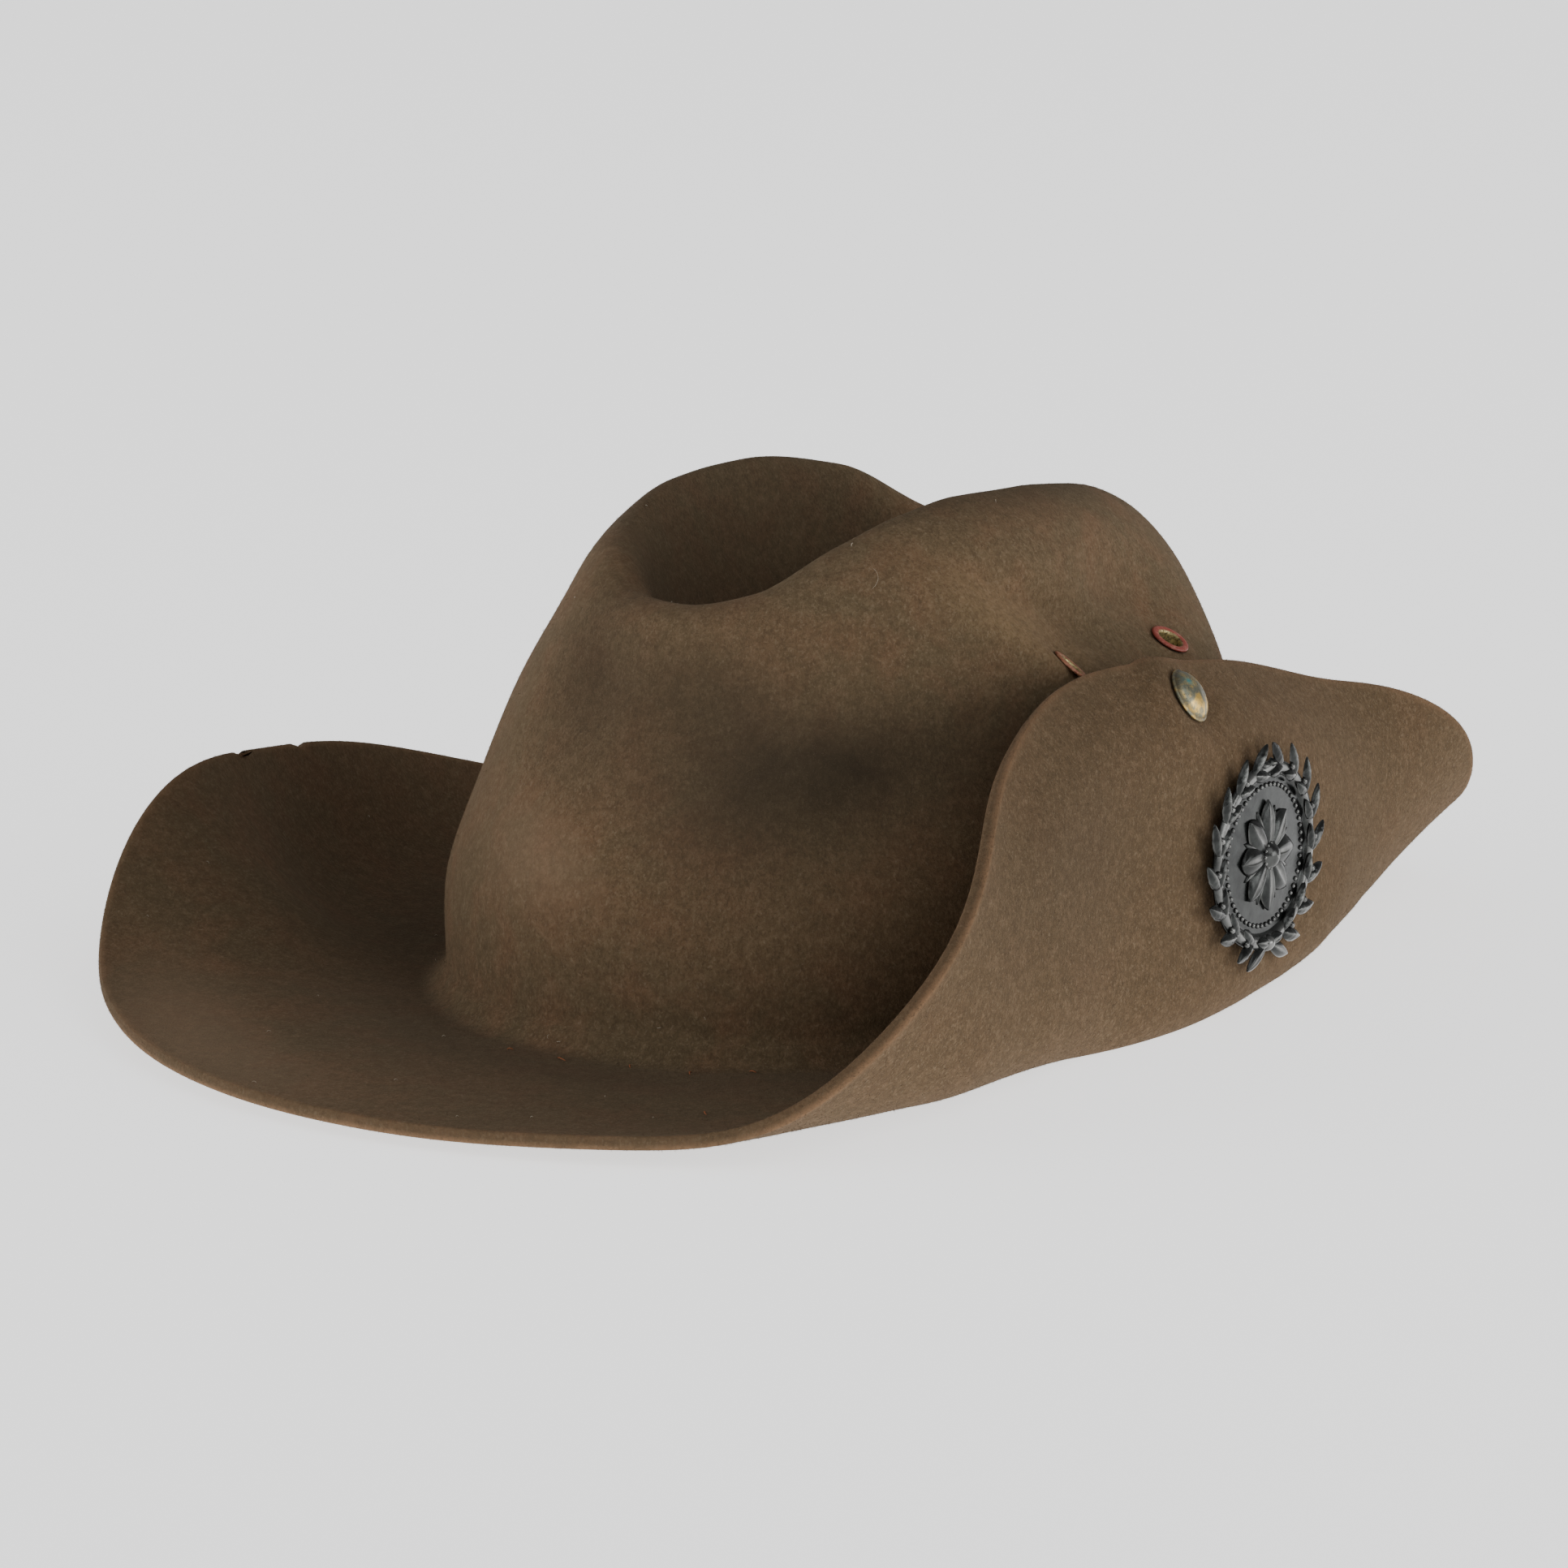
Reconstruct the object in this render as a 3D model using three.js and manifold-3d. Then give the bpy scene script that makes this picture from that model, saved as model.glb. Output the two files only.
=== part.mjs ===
// Felt slouch hat with its left brim fastened up, in millimetres.
// X points to the wearer's left, -Y to the front and Z up.
import * as THREE from "three";
import { mergeVertices } from "three/addons/utils/BufferGeometryUtils.js";
import Module from "manifold-3d";

// Felt
const feltThickness = 2.8;
const edgeRounding = 0.5;
const headHalfWidth = 86;
const headHalfLength = 105;
const creaseRadius = 5;
const dentFloor = 65;
const restDepth = -2.6;
const tipStart = 38;
const tipLength = 30;

// Grid of the felt: steps round the head, and rows from the dent's middle to the edge.
// The crown's rows are given in rings, counted from the base, close together on the ridge.
const turnSteps = 72;
const crownRows = [11, 10, 9, 8, 7.4, 6.8, 6.4, 6, 5.6, 5.2, 4.6, 4, 3, 2, 1, 0];
const creaseRows = 2;
const brimRows = 9;
const stepsPerRow = 8;

// Fastening, badge and their clearances
const clearance = 0.3;
const eyelet = { hole: 2.7, barrel: 3, flange: 4.6, lip: 0.7 };
const stud = { radius: 6.4, rise: 2.6, rim: 0.8, shank: 1.6, washer: 4, washerThickness: 0.8 };
const badge = {
  halfWidth: 23,
  halfHeight: 19.8,
  plate: 1.1,
  band: 1.7,
  leaf: 7,
  leaves: 8,
  petals: 8,
  rosette: 12.5,
  lug: 0.9,
  lugLength: 4,
  lugSpread: 12,
  bendAcross: 480,
  gap: 0.5,
};

// Rings of the crown: height, reach to each side, and the share of the ridge's drop
const crownRings = [
  { z: 5, left: 87, right: 86.5, front: 102.5, back: 105, share: 0 },
  { z: 25, left: 88, right: 86, front: 101.5, back: 105, share: 0 },
  { z: 46, left: 84.5, right: 78, front: 95.5, back: 102, share: 0 },
  { z: 67, left: 79.5, right: 69.5, front: 87, back: 98.5, share: 0.04 },
  { z: 89, left: 69.5, right: 57.5, front: 80.5, back: 93, share: 0.33 },
  { z: 105, left: 56.5, right: 49, front: 76, back: 86.5, share: 0.75 },
  { z: 112, left: 44, right: 42, front: 70, back: 78, share: 1 },
];

// Rings of the dent inside the ridge: share of its reach and of its height
const dentRings = [
  { reach: 0.91, height: 0.9 },
  { reach: 0.8, height: 0.55 },
  { reach: 0.64, height: 0.18 },
  { reach: 0.38, height: 0.02 },
  { reach: 0.08, height: 0 },
];

// How far the ridge drops below its top, by turn (0 left, 90 back, 180 right)
const ridgeDrops = [
  { turn: -90, drop: 19.5 },
  { turn: -70, drop: 17 },
  { turn: -50, drop: 7.5 },
  { turn: -35, drop: 2 },
  { turn: -20, drop: -0.5 },
  { turn: 0, drop: 0 },
  { turn: 20, drop: 3 },
  { turn: 45, drop: 9.3 },
  { turn: 65, drop: 17.5 },
  { turn: 90, drop: 26 },
  { turn: 115, drop: 20.5 },
  { turn: 140, drop: 7.4 },
  { turn: 165, drop: 3 },
  { turn: 185, drop: 3.8 },
  { turn: 207, drop: 8.2 },
  { turn: 230, drop: 12.5 },
  { turn: 250, drop: 19 },
];

// Soft hollows in the crown's side; a depth below 0 swells out. A slant leans the long
// way of the hollow. The last two make the pinched fold at the front eyelet.
const hollows = [
  { turn: -80, z: 73, depth: 3.6, turnSpan: 13, zSpan: 13, slant: 0 },
  { turn: -104, z: 74, depth: 3.4, turnSpan: 11, zSpan: 11, slant: 0 },
  { turn: -52, z: 56, depth: 4.6, turnSpan: 20, zSpan: 17, slant: 0 },
  { turn: -99, z: 37, depth: -2.4, turnSpan: 15, zSpan: 13, slant: 0 },
  { turn: -2, z: 90, depth: 4.6, turnSpan: 20, zSpan: 12, slant: 0 },
  { turn: 8, z: 86, depth: 5, turnSpan: 13, zSpan: 9, slant: 0 },
  { turn: -27, z: 85, depth: -2.6, turnSpan: 5.5, zSpan: 12, slant: 2 },
  { turn: -13, z: 86, depth: 5.6, turnSpan: 8, zSpan: 11, slant: 1.5 },
];

// Sections of the brim: it leaves the crown at lift degrees, starts to bend at
// foldAt, ends at bend degrees after foldLength, and its last stretch leans by tip.
// The fold's line stands across the direction toward.
const brimSections = [
  { turn: -90, width: 74, lift: 2.8, foldAt: 24, foldLength: 38, bend: 1, tip: 0, toward: -90 },
  { turn: -68, width: 72.5, lift: 2.4, foldAt: 36, foldLength: 46, bend: 10, tip: 0, toward: -55 },
  { turn: -52, width: 76, lift: 3.5, foldAt: 19, foldLength: 54, bend: 72, tip: -2, toward: -46 },
  { turn: -38, width: 85, lift: 2, foldAt: 0, foldLength: 47, bend: 88, tip: 21, toward: -24 },
  { turn: -18, width: 87.8, lift: 0, foldAt: -11, foldLength: 34, bend: 91, tip: 44, toward: -14 },
  { turn: 5, width: 84, lift: 0, foldAt: -7, foldLength: 29, bend: 91, tip: 44, toward: 0 },
  { turn: 28, width: 79, lift: 2, foldAt: -4, foldLength: 42, bend: 100, tip: 26, toward: -2 },
  { turn: 46, width: 80.5, lift: 3, foldAt: 11, foldLength: 28, bend: 74, tip: 0, toward: -2 },
  { turn: 60, width: 72.5, lift: 3, foldAt: 21.5, foldLength: 29, bend: 45, tip: 0, toward: 5 },
  { turn: 90, width: 74, lift: 2, foldAt: 20, foldLength: 38, bend: -1, tip: 0, toward: 90 },
  { turn: 135, width: 70.5, lift: 0, foldAt: 28, foldLength: 56, bend: 25, tip: 0, toward: 143 },
  { turn: 180, width: 86, lift: 2, foldAt: 25, foldLength: 57, bend: 70, tip: 0, toward: 172 },
  { turn: 225, width: 76.5, lift: 5, foldAt: -17, foldLength: 37, bend: 5.5, tip: 0, toward: 217 },
];

// Where the hard pieces sit: on the crown by turn and height, on the flap by turn and
// share of the brim's width. Each leans up and swings backwards by so many degrees.
const eyeletSpots = [
  { name: "eyelet_front", turn: -19.2, z: 78.6, lean: 22, swing: 20 },
  { name: "eyelet_rear", turn: 11.4, z: 77, lean: 16, swing: 0 },
];
const studSpot = { turn: -5.8, share: 0.875, lean: -8, swing: 9 };
const badgeSpot = { turn: 4.3, share: 0.447, lean: 0, swing: 0 };

const colors = { felt: 0x5b4736, brass: 0x8a7a4c, enamel: 0x9c4434, blackened: 0x3a3b3a };

// Small helpers
const degrees = (radians) => (radians * 180) / Math.PI;
const radians = (angle) => (angle * Math.PI) / 180;
const clamp01 = (x) => Math.min(1, Math.max(0, x));
const soft = (x) => clamp01(x) ** 3 * (clamp01(x) * (6 * clamp01(x) - 15) + 10);
const wrap = (angle) => ((((angle + 180) % 360) + 360) % 360) - 180;

// A smooth value round the hat through the rows of a table, without overshoot.
function around(table, read, turn) {
  const n = table.length;
  const at = (i) => table[((i % n) + n) % n].turn + 360 * Math.floor(i / n);
  const value = (i) => read(table[((i % n) + n) % n]);
  let x = turn;
  while (x < at(0)) x += 360;
  while (x >= at(0) + 360) x -= 360;
  let k = 0;
  while (at(k + 1) <= x) k += 1;
  const slope = (i) => (value(i + 1) - value(i)) / (at(i + 1) - at(i));
  const tangent = (i) => {
    const before = slope(i - 1);
    const after = slope(i);
    if (before * after <= 0) return 0;
    const a = 2 * (at(i + 1) - at(i)) + at(i) - at(i - 1);
    const b = at(i + 1) - at(i) + 2 * (at(i) - at(i - 1));
    return (a + b) / (a / before + b / after);
  };
  const span = at(k + 1) - at(k);
  const f = (x - at(k)) / span;
  const g = 1 - f;
  return (
    (1 + 2 * f) * g * g * value(k) +
    f * g * g * span * tangent(k) +
    f * f * (3 - 2 * f) * value(k + 1) -
    f * f * g * span * tangent(k + 1)
  );
}

// A smooth curve through points, at u from 0 to 1.
function through(points, u) {
  const x = clamp01(u) * (points.length - 1);
  const i = Math.min(Math.floor(x), points.length - 2);
  const at = (k) => points[Math.min(Math.max(k, 0), points.length - 1)];
  const f = x - i;
  const mix = (p, q, r, s) =>
    0.5 * (2 * q + (r - p) * f + (2 * p - 5 * q + 4 * r - s) * f * f + (3 * q - p - 3 * r + s) * f ** 3);
  const [p, q, r, s] = [at(i - 1), at(i), at(i + 1), at(i + 2)];
  return new THREE.Vector3(mix(p.x, q.x, r.x, s.x), mix(p.y, q.y, r.y, s.y), mix(p.z, q.z, r.z, s.z));
}

// The azimuth that the head's oval faces at a turn.
function facing(turn) {
  const a = radians(turn);
  return degrees(Math.atan2(Math.sin(a) / headHalfLength, Math.cos(a) / headHalfWidth));
}

// The crown's outer surface at a turn, with u from 0 at the base to 1 in the dent.
function crownPoint(turn, u) {
  const c = Math.cos(radians(turn));
  const s = Math.sin(radians(turn));
  const drop = around(ridgeDrops, (row) => row.drop, turn);
  const knots = crownRings.map(
    (ring) =>
      new THREE.Vector3(
        c * (c > 0 ? ring.left : ring.right),
        s * (s < 0 ? ring.front : ring.back),
        ring.z - ring.share * drop,
      ),
  );
  const ridge = knots[knots.length - 1];
  for (const ring of dentRings) {
    const z = dentFloor + (ridge.z - dentFloor) * ring.height;
    knots.push(new THREE.Vector3(ridge.x * ring.reach, ridge.y * ring.reach, z));
  }
  const point = through(knots, u);
  const rings = (u * (knots.length - 1)) / (crownRings.length - 1);
  if (rings < 0.95) {
    const out = radians(facing(turn));
    for (const hollow of hollows) {
      const up = (point.z - hollow.z) / hollow.zSpan;
      const across = wrap(turn - hollow.turn) / hollow.turnSpan + hollow.slant * up;
      const push = hollow.depth * Math.exp(-across * across - up * up);
      point.x -= push * Math.cos(out);
      point.y -= push * Math.sin(out);
    }
  }
  return point;
}

// The brim's upper surface at a turn, as a row of points from the crease to the edge.
function brimLine(turn, rows) {
  const read = (name) => around(brimSections, (row) => row[name], turn);
  const [width, lift, foldAt, foldLength] = ["width", "lift", "foldAt", "foldLength"].map(read);
  const [bend, tip] = ["bend", "tip"].map(read);
  const out = radians(facing(turn));
  const swing = around(brimSections, (row) => wrap(row.toward - facing(row.turn)), turn);
  const toward = out + radians(swing);
  const along = Math.cos(out - toward);
  const across = Math.sin(out - toward);
  const point = new THREE.Vector3(
    headHalfWidth * Math.cos(radians(turn)) + creaseRadius * Math.cos(out),
    headHalfLength * Math.sin(radians(turn)) + creaseRadius * Math.sin(out),
    0,
  );
  const line = [point.clone()];
  const step = (width - creaseRadius) / (rows * stepsPerRow);
  for (let i = 0; i < rows * stepsPerRow; i += 1) {
    const s = (i + 0.5) * step;
    const rise = radians(
      lift +
        (bend - lift) * soft((s - foldAt + creaseRadius) / foldLength) +
        tip * soft((s - width + tipStart) / tipLength),
    );
    point.x += step * (along * Math.cos(rise) * Math.cos(toward) - across * Math.sin(toward));
    point.y += step * (along * Math.cos(rise) * Math.sin(toward) + across * Math.cos(toward));
    point.z += step * along * Math.sin(rise);
    if ((i + 1) % stepsPerRow === 0) line.push(point.clone());
  }
  return line;
}

// One line of the felt's outer surface, from the dent's middle to the brim's edge.
function feltLine(turn, crown, crease, brim) {
  const line = [];
  for (const ring of crown) line.push(crownPoint(turn, ring / crown[0]));
  const out = radians(facing(turn));
  for (let i = 1; i < crease; i += 1) {
    const a = ((i / crease) * Math.PI) / 2;
    line.push(
      new THREE.Vector3(
        headHalfWidth * Math.cos(radians(turn)) + creaseRadius * (1 - Math.cos(a)) * Math.cos(out),
        headHalfLength * Math.sin(radians(turn)) + creaseRadius * (1 - Math.cos(a)) * Math.sin(out),
        creaseRadius * (1 - Math.sin(a)),
      ),
    );
  }
  return line.concat(brimLine(turn, brim));
}

// Presses a point of the outer surface towards the flat seat under a clamped rim.
function pressed(point, { frame, level, rim }) {
  const local = point.clone().applyMatrix4(frame.clone().invert());
  const off = local.z - level;
  local.z = level + off * soft((Math.hypot(local.x, local.y, off) - rim - 0.4) / (rim * 1.1));
  return local.applyMatrix4(frame);
}

// The grid of outer points round the whole hat, with the normal at each.
function feltGrid(steps, crown, crease, brim, seats) {
  const points = [];
  const brimStart = crown.length + crease - 1;
  for (let i = 0; i < steps; i += 1) {
    const line = feltLine((360 * i) / steps, crown, crease, brim);
    const near = (j) => seats.filter((seat) => seat.onBrim === j >= brimStart);
    points.push(line.map((point, j) => near(j).reduce(pressed, point)));
  }
  const rows = points[0].length;
  const normals = points.map((line, i) =>
    line.map((_, j) => {
      const next = points[(i + 1) % steps][j];
      const last = points[(i + steps - 1) % steps][j];
      const outer = line[Math.min(j + 1, rows - 1)];
      const inner = line[Math.max(j - 1, 0)];
      const round = next.clone().sub(last);
      return outer.clone().sub(inner).cross(round).normalize();
    }),
  );
  return { points, normals, steps, rows };
}

// A geometry from points and triangles.
function geometryOf(points, triangles) {
  const geometry = new THREE.BufferGeometry();
  const flat = points.flatMap((p) => [p.x, p.y, p.z]);
  geometry.setAttribute("position", new THREE.Float32BufferAttribute(flat, 3));
  geometry.setIndex(triangles.flat());
  return geometry;
}

// The closed felt shell: outer sheet, inner sheet and a rounded edge between them.
function feltGeometry(seats) {
  const { points, normals, steps, rows } = feltGrid(turnSteps, crownRows, creaseRows, brimRows, seats);
  const all = [];
  const outer = (i, j) => (i % steps) * rows + j;
  const inner = (i, j) => steps * rows + outer(i, j);
  const rim = (i) => 2 * steps * rows + (i % steps);
  points.forEach((line) => all.push(...line));
  points.forEach((line, i) =>
    line.forEach((p, j) => {
      const under = p.clone().addScaledVector(normals[i][j], -feltThickness);
      under.z = Math.max(under.z, restDepth);
      all.push(under);
    }),
  );
  points.forEach((line, i) => {
    const out = line[rows - 1].clone().sub(line[rows - 2]).normalize();
    const middle = all[outer(i, rows - 1)].clone().lerp(all[inner(i, rows - 1)], 0.5);
    all.push(middle.addScaledVector(out, edgeRounding));
  });
  const centre = points.reduce((sum, line) => sum.add(line[0]), new THREE.Vector3());
  centre.divideScalar(steps);
  const top = all.push(centre) - 1;
  const bottom = all.push(centre.clone().setZ(centre.z - feltThickness)) - 1;
  const triangles = [];
  const quad = (a, b, c, d) => {
    const first = all[a].distanceTo(all[c]) < all[b].distanceTo(all[d]);
    triangles.push(first ? [a, b, c] : [a, b, d], first ? [a, c, d] : [b, c, d]);
  };
  for (let i = 0; i < steps; i += 1) {
    for (let j = 0; j + 1 < rows; j += 1) {
      quad(outer(i, j), outer(i, j + 1), outer(i + 1, j + 1), outer(i + 1, j));
      quad(inner(i, j), inner(i + 1, j), inner(i + 1, j + 1), inner(i, j + 1));
    }
    triangles.push([top, outer(i, 0), outer(i + 1, 0)]);
    triangles.push([bottom, inner(i + 1, 0), inner(i, 0)]);
    quad(outer(i, rows - 1), rim(i), rim(i + 1), outer(i + 1, rows - 1));
    quad(rim(i), inner(i, rows - 1), inner(i + 1, rows - 1), rim(i + 1));
  }
  return geometryOf(all, triangles);
}

// A closed solid turned round Z from a profile of [radius, height] points; a profile
// that starts and ends on the axis is full, any other is a ring.
function turned(profile, steps) {
  const full = profile[0][0] === 0;
  const points = [];
  const first = profile.map(([r, z]) => {
    const start = points.length;
    const count = r === 0 ? 1 : steps;
    for (let i = 0; i < count; i += 1) {
      const a = (2 * Math.PI * i) / steps;
      points.push(new THREE.Vector3(r * Math.cos(a), r * Math.sin(a), z));
    }
    return start;
  });
  const at = (k, i) => (profile[k][0] === 0 ? first[k] : first[k] + (i % steps));
  const triangles = [];
  const last = full ? profile.length - 1 : profile.length;
  for (let k = 0; k < last; k += 1) {
    const next = (k + 1) % profile.length;
    for (let i = 0; i < steps; i += 1) {
      const [a, b, c, d] = [at(k, i), at(k, i + 1), at(next, i + 1), at(next, i)];
      if (a !== b) triangles.push([a, b, c]);
      if (c !== d) triangles.push([a, c, d]);
    }
  }
  return geometryOf(points, triangles);
}

// Placing: a frame on the felt with Z out of it, X along the turn and Y up the sheet
function frameAt(point, out, up, { lean, swing }) {
  const z = out.clone().normalize();
  const x = up.clone().cross(z).normalize();
  const y = z.clone().cross(x);
  const leaning = new THREE.Matrix4().makeRotationX(radians(-lean));
  const swinging = new THREE.Matrix4().makeRotationY(radians(swing));
  return new THREE.Matrix4().makeBasis(x, y, z).setPosition(point).multiply(leaning).multiply(swinging);
}

function crownFrame(spot) {
  const { turn, z } = spot;
  let low = 0;
  let high = (crownRings.length - 1) / (crownRings.length + dentRings.length - 1);
  for (let i = 0; i < 30; i += 1) {
    const middle = (low + high) / 2;
    if (crownPoint(turn, middle).z < z) low = middle;
    else high = middle;
  }
  const at = (t, u) => crownPoint(t, u);
  const up = at(turn, low + 0.02).sub(at(turn, low - 0.02));
  const round = at(turn + 2, low).sub(at(turn - 2, low));
  return frameAt(at(turn, low), round.cross(up), up, spot);
}

// On the flap the sheet's underside faces out.
function flapFrame(spot) {
  const { turn, share } = spot;
  const rows = 50;
  const k = Math.round(share * rows);
  const line = brimLine(turn, rows);
  const up = line[k + 3].clone().sub(line[k - 3]);
  const round = brimLine(turn + 3, rows)[k].sub(brimLine(turn - 3, rows)[k]);
  const out = round.clone().cross(up).normalize();
  const face = line[k].clone().addScaledVector(out, feltThickness);
  return frameAt(face, out, new THREE.Vector3(0, 0, 1), spot);
}

// Solids, for cutting and joining
const wasm = await Module();
wasm.setup();

function solidOf(geometry, frame = new THREE.Matrix4()) {
  const placed = new THREE.BufferGeometry();
  placed.setAttribute("position", geometry.getAttribute("position").clone());
  placed.setIndex(geometry.index);
  placed.applyMatrix4(frame);
  const merged = mergeVertices(placed, 1e-4);
  return new wasm.Manifold(
    new wasm.Mesh({
      numProp: 3,
      vertProperties: new Float32Array(merged.attributes.position.array),
      triVerts: new Uint32Array(merged.index.array),
    }),
  );
}

function geometryFrom(solid) {
  const mesh = solid.getMesh();
  const geometry = new THREE.BufferGeometry();
  geometry.setAttribute("position", new THREE.BufferAttribute(mesh.vertProperties, 3));
  geometry.setIndex(new THREE.BufferAttribute(mesh.triVerts, 1));
  return geometry;
}

// A round peg along Z between two heights, used to cut the felt.
function peg(radius, low, high) {
  return turned([[0, low], [radius, low], [radius, high], [0, high]], 16);
}

// The felt cut away for a fastener: its hole, and flat seats where its rims clamp.
function clampCut(hole, outerRim, innerRim) {
  const under = -feltThickness;
  const cuts = [
    solidOf(peg(hole + clearance, under - 4, 4)),
    solidOf(peg(outerRim + clearance, 0, 4)),
    solidOf(peg(innerRim + clearance, under - 4, under)),
  ];
  return wasm.Manifold.union(cuts);
}

// An eyelet: an enamelled flange outside, a barrel through the felt, a rolled end inside.
function eyeletGeometry() {
  const { hole, barrel, flange, lip } = eyelet;
  const inside = -feltThickness - clearance;
  return turned(
    [
      [hole, inside - lip],
      [flange - 0.6, inside - lip],
      [flange - 0.4, inside],
      [barrel, inside],
      [barrel, clearance],
      [flange, clearance],
      [flange - 0.2, clearance + lip * 0.6],
      [flange - 1, clearance + lip],
      [hole + 0.5, clearance + lip],
      [hole, clearance + lip * 0.4],
    ],
    16,
  );
}

// The stud: a domed cap with a rolled rim, a shank and a washer behind the felt.
function studGeometry() {
  const { radius, rise, rim, shank, washer, washerThickness } = stud;
  const back = -feltThickness - clearance;
  const dome = [1, 0.9, 0.7, 0.4].map((share) => [
    (radius - 0.4) * share,
    clearance + rim + rise * Math.sqrt(1 - share * share),
  ]);
  return turned(
    [
      [0, back - washerThickness],
      [washer, back - washerThickness],
      [washer, back],
      [shank, back],
      [shank, clearance],
      [radius - 0.3, clearance],
      [radius, clearance + rim / 2],
      ...dome,
      [0, clearance + rim + rise],
    ],
    22,
  );
}

// A flat drop shape with a ridge, lying along X from its root: a leaf or a petal.
function blade(length, width, height, rings = 2) {
  const geometry = new THREE.SphereGeometry(1, 6, rings);
  geometry.rotateX(Math.PI / 2);
  geometry.scale(length / 2, width / 2, height);
  geometry.translate(length / 2, 0, 0);
  return geometry;
}

// The badge: an oval laurel wreath tied at the foot, round a rosette on a plain plate.
function badgeGeometry() {
  const { halfWidth, halfHeight, plate, band, leaf, leaves, petals, rosette, lug, lugSpread } = badge;
  const parts = [];
  const add = (geometry, x, y, z, turn) => {
    const frame = new THREE.Matrix4().makeRotationZ(turn).setPosition(x, y, z);
    parts.push(solidOf(geometry, frame));
  };
  const plateShape = turned([[0, 0], [1, 0], [1, plate], [0, plate]], 28);
  parts.push(solidOf(plateShape, new THREE.Matrix4().makeScale(halfWidth, halfHeight, 1)));
  const ring = new THREE.TorusGeometry(1, 0.085, 6, 28);
  const ringFrame = new THREE.Matrix4().makeScale(halfWidth, halfHeight, band / 0.12);
  parts.push(solidOf(ring, ringFrame.setPosition(0, 0, plate)));
  for (const side of [-1, 1]) {
    for (let i = 0; i < leaves; i += 1) {
      const a = radians(-72 + (144 * i) / (leaves - 1));
      const x = side * halfWidth * Math.cos(a);
      const y = halfHeight * Math.sin(a);
      const rise = Math.atan2(halfHeight * Math.cos(a), -side * halfWidth * Math.sin(a));
      add(blade(leaf + 1.6, 3.2, 1.5), x, y, plate, rise - side * 0.55);
      add(blade(leaf, 2.9, 1.4), x, y, plate, rise + side * 0.42);
    }
    add(blade(11, 3.6, 1.6), 0, -halfHeight, plate, Math.PI / 2 + side * (Math.PI / 2 + 0.42));
    add(blade(2.6, 2.6, 1.6), side * 1.9 - 1.3, halfHeight + 0.6, plate, 0);
  }
  for (let i = 0; i < petals; i += 1) {
    add(blade(rosette, 6.4, 2.1, 4), 0, 0, plate, (2 * Math.PI * i) / petals);
  }
  add(new THREE.SphereGeometry(3.3, 8, 6), 0, 0, plate + 0.6, 0);
  add(new THREE.SphereGeometry(2.5, 8, 4), 0, -halfHeight, plate, 0);
  let whole = wasm.Manifold.union(parts).trimByPlane([0, 0, 1], 0);
  const pin = turned([[0, -badge.lugLength], [lug, -badge.lugLength], [lug, plate / 2], [0, plate / 2]], 8);
  for (const side of [-1, 1]) {
    whole = whole.add(solidOf(pin, new THREE.Matrix4().setPosition(side * lugSpread, 0, 0)));
  }
  return geometryFrom(whole);
}

// Bends a flat piece round a cylinder that stands along its Y.
function bent(geometry, radius) {
  const position = geometry.getAttribute("position");
  for (let i = 0; i < position.count; i += 1) {
    const x = position.getX(i);
    position.setZ(i, position.getZ(i) - (x * x) / (2 * radius));
  }
  return geometry;
}

// The assembly
const hat = new THREE.Group();
hat.name = "slouch_hat";

function addPiece(name, geometry, color, roughness, metalness, frame = new THREE.Matrix4()) {
  const mesh = new THREE.Mesh(geometry, new THREE.MeshStandardMaterial({ color, roughness, metalness }));
  mesh.name = name;
  mesh.applyMatrix4(frame);
  hat.add(mesh);
}

const studFrame = flapFrame(studSpot);
const badgeFrame = flapFrame(badgeSpot);
const eyeletFrames = eyeletSpots.map(crownFrame);
const cutAt = (solid, frame) => solid.transform([...frame.elements]);
const seats = [
  ...eyeletFrames.map((frame) => ({ frame, level: 0, rim: eyelet.flange + clearance, onBrim: false })),
  { frame: studFrame, level: -feltThickness, rim: stud.radius + clearance, onBrim: true },
];
let felt = solidOf(feltGeometry(seats));
felt = felt.subtract(cutAt(clampCut(stud.shank, stud.radius, stud.washer), studFrame));
for (const frame of eyeletFrames) {
  felt = felt.subtract(cutAt(clampCut(eyelet.barrel, eyelet.flange, eyelet.flange), frame));
}
for (const side of [-1, 1]) {
  const shift = new THREE.Matrix4().setPosition(side * badge.lugSpread, 0, 0);
  const hole = solidOf(peg(badge.lug + clearance, -feltThickness - 4, 4));
  felt = felt.subtract(cutAt(hole, badgeFrame.clone().multiply(shift)));
}

addPiece("felt_body", geometryFrom(felt), colors.felt, 0.95, 0);
eyeletSpots.forEach(({ name }, i) =>
  addPiece(name, eyeletGeometry(), colors.enamel, 0.45, 0.2, eyeletFrames[i]),
);
addPiece("brim_stud", studGeometry(), colors.brass, 0.4, 0.9, studFrame);
const badgeSeat = badgeFrame.clone().multiply(new THREE.Matrix4().setPosition(0, 0, badge.gap));
addPiece("badge", bent(badgeGeometry(), badge.bendAcross), colors.blackened, 0.4, 0.8, badgeSeat);

const box = new THREE.Box3().setFromObject(hat, true);
const middle = box.getCenter(new THREE.Vector3());
hat.position.set(-middle.x, -middle.y, -box.min.z);

export default hat;
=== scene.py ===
# Slouch hat: felt with a nap, worn fasteners and a blackened badge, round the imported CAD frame
import math

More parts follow.
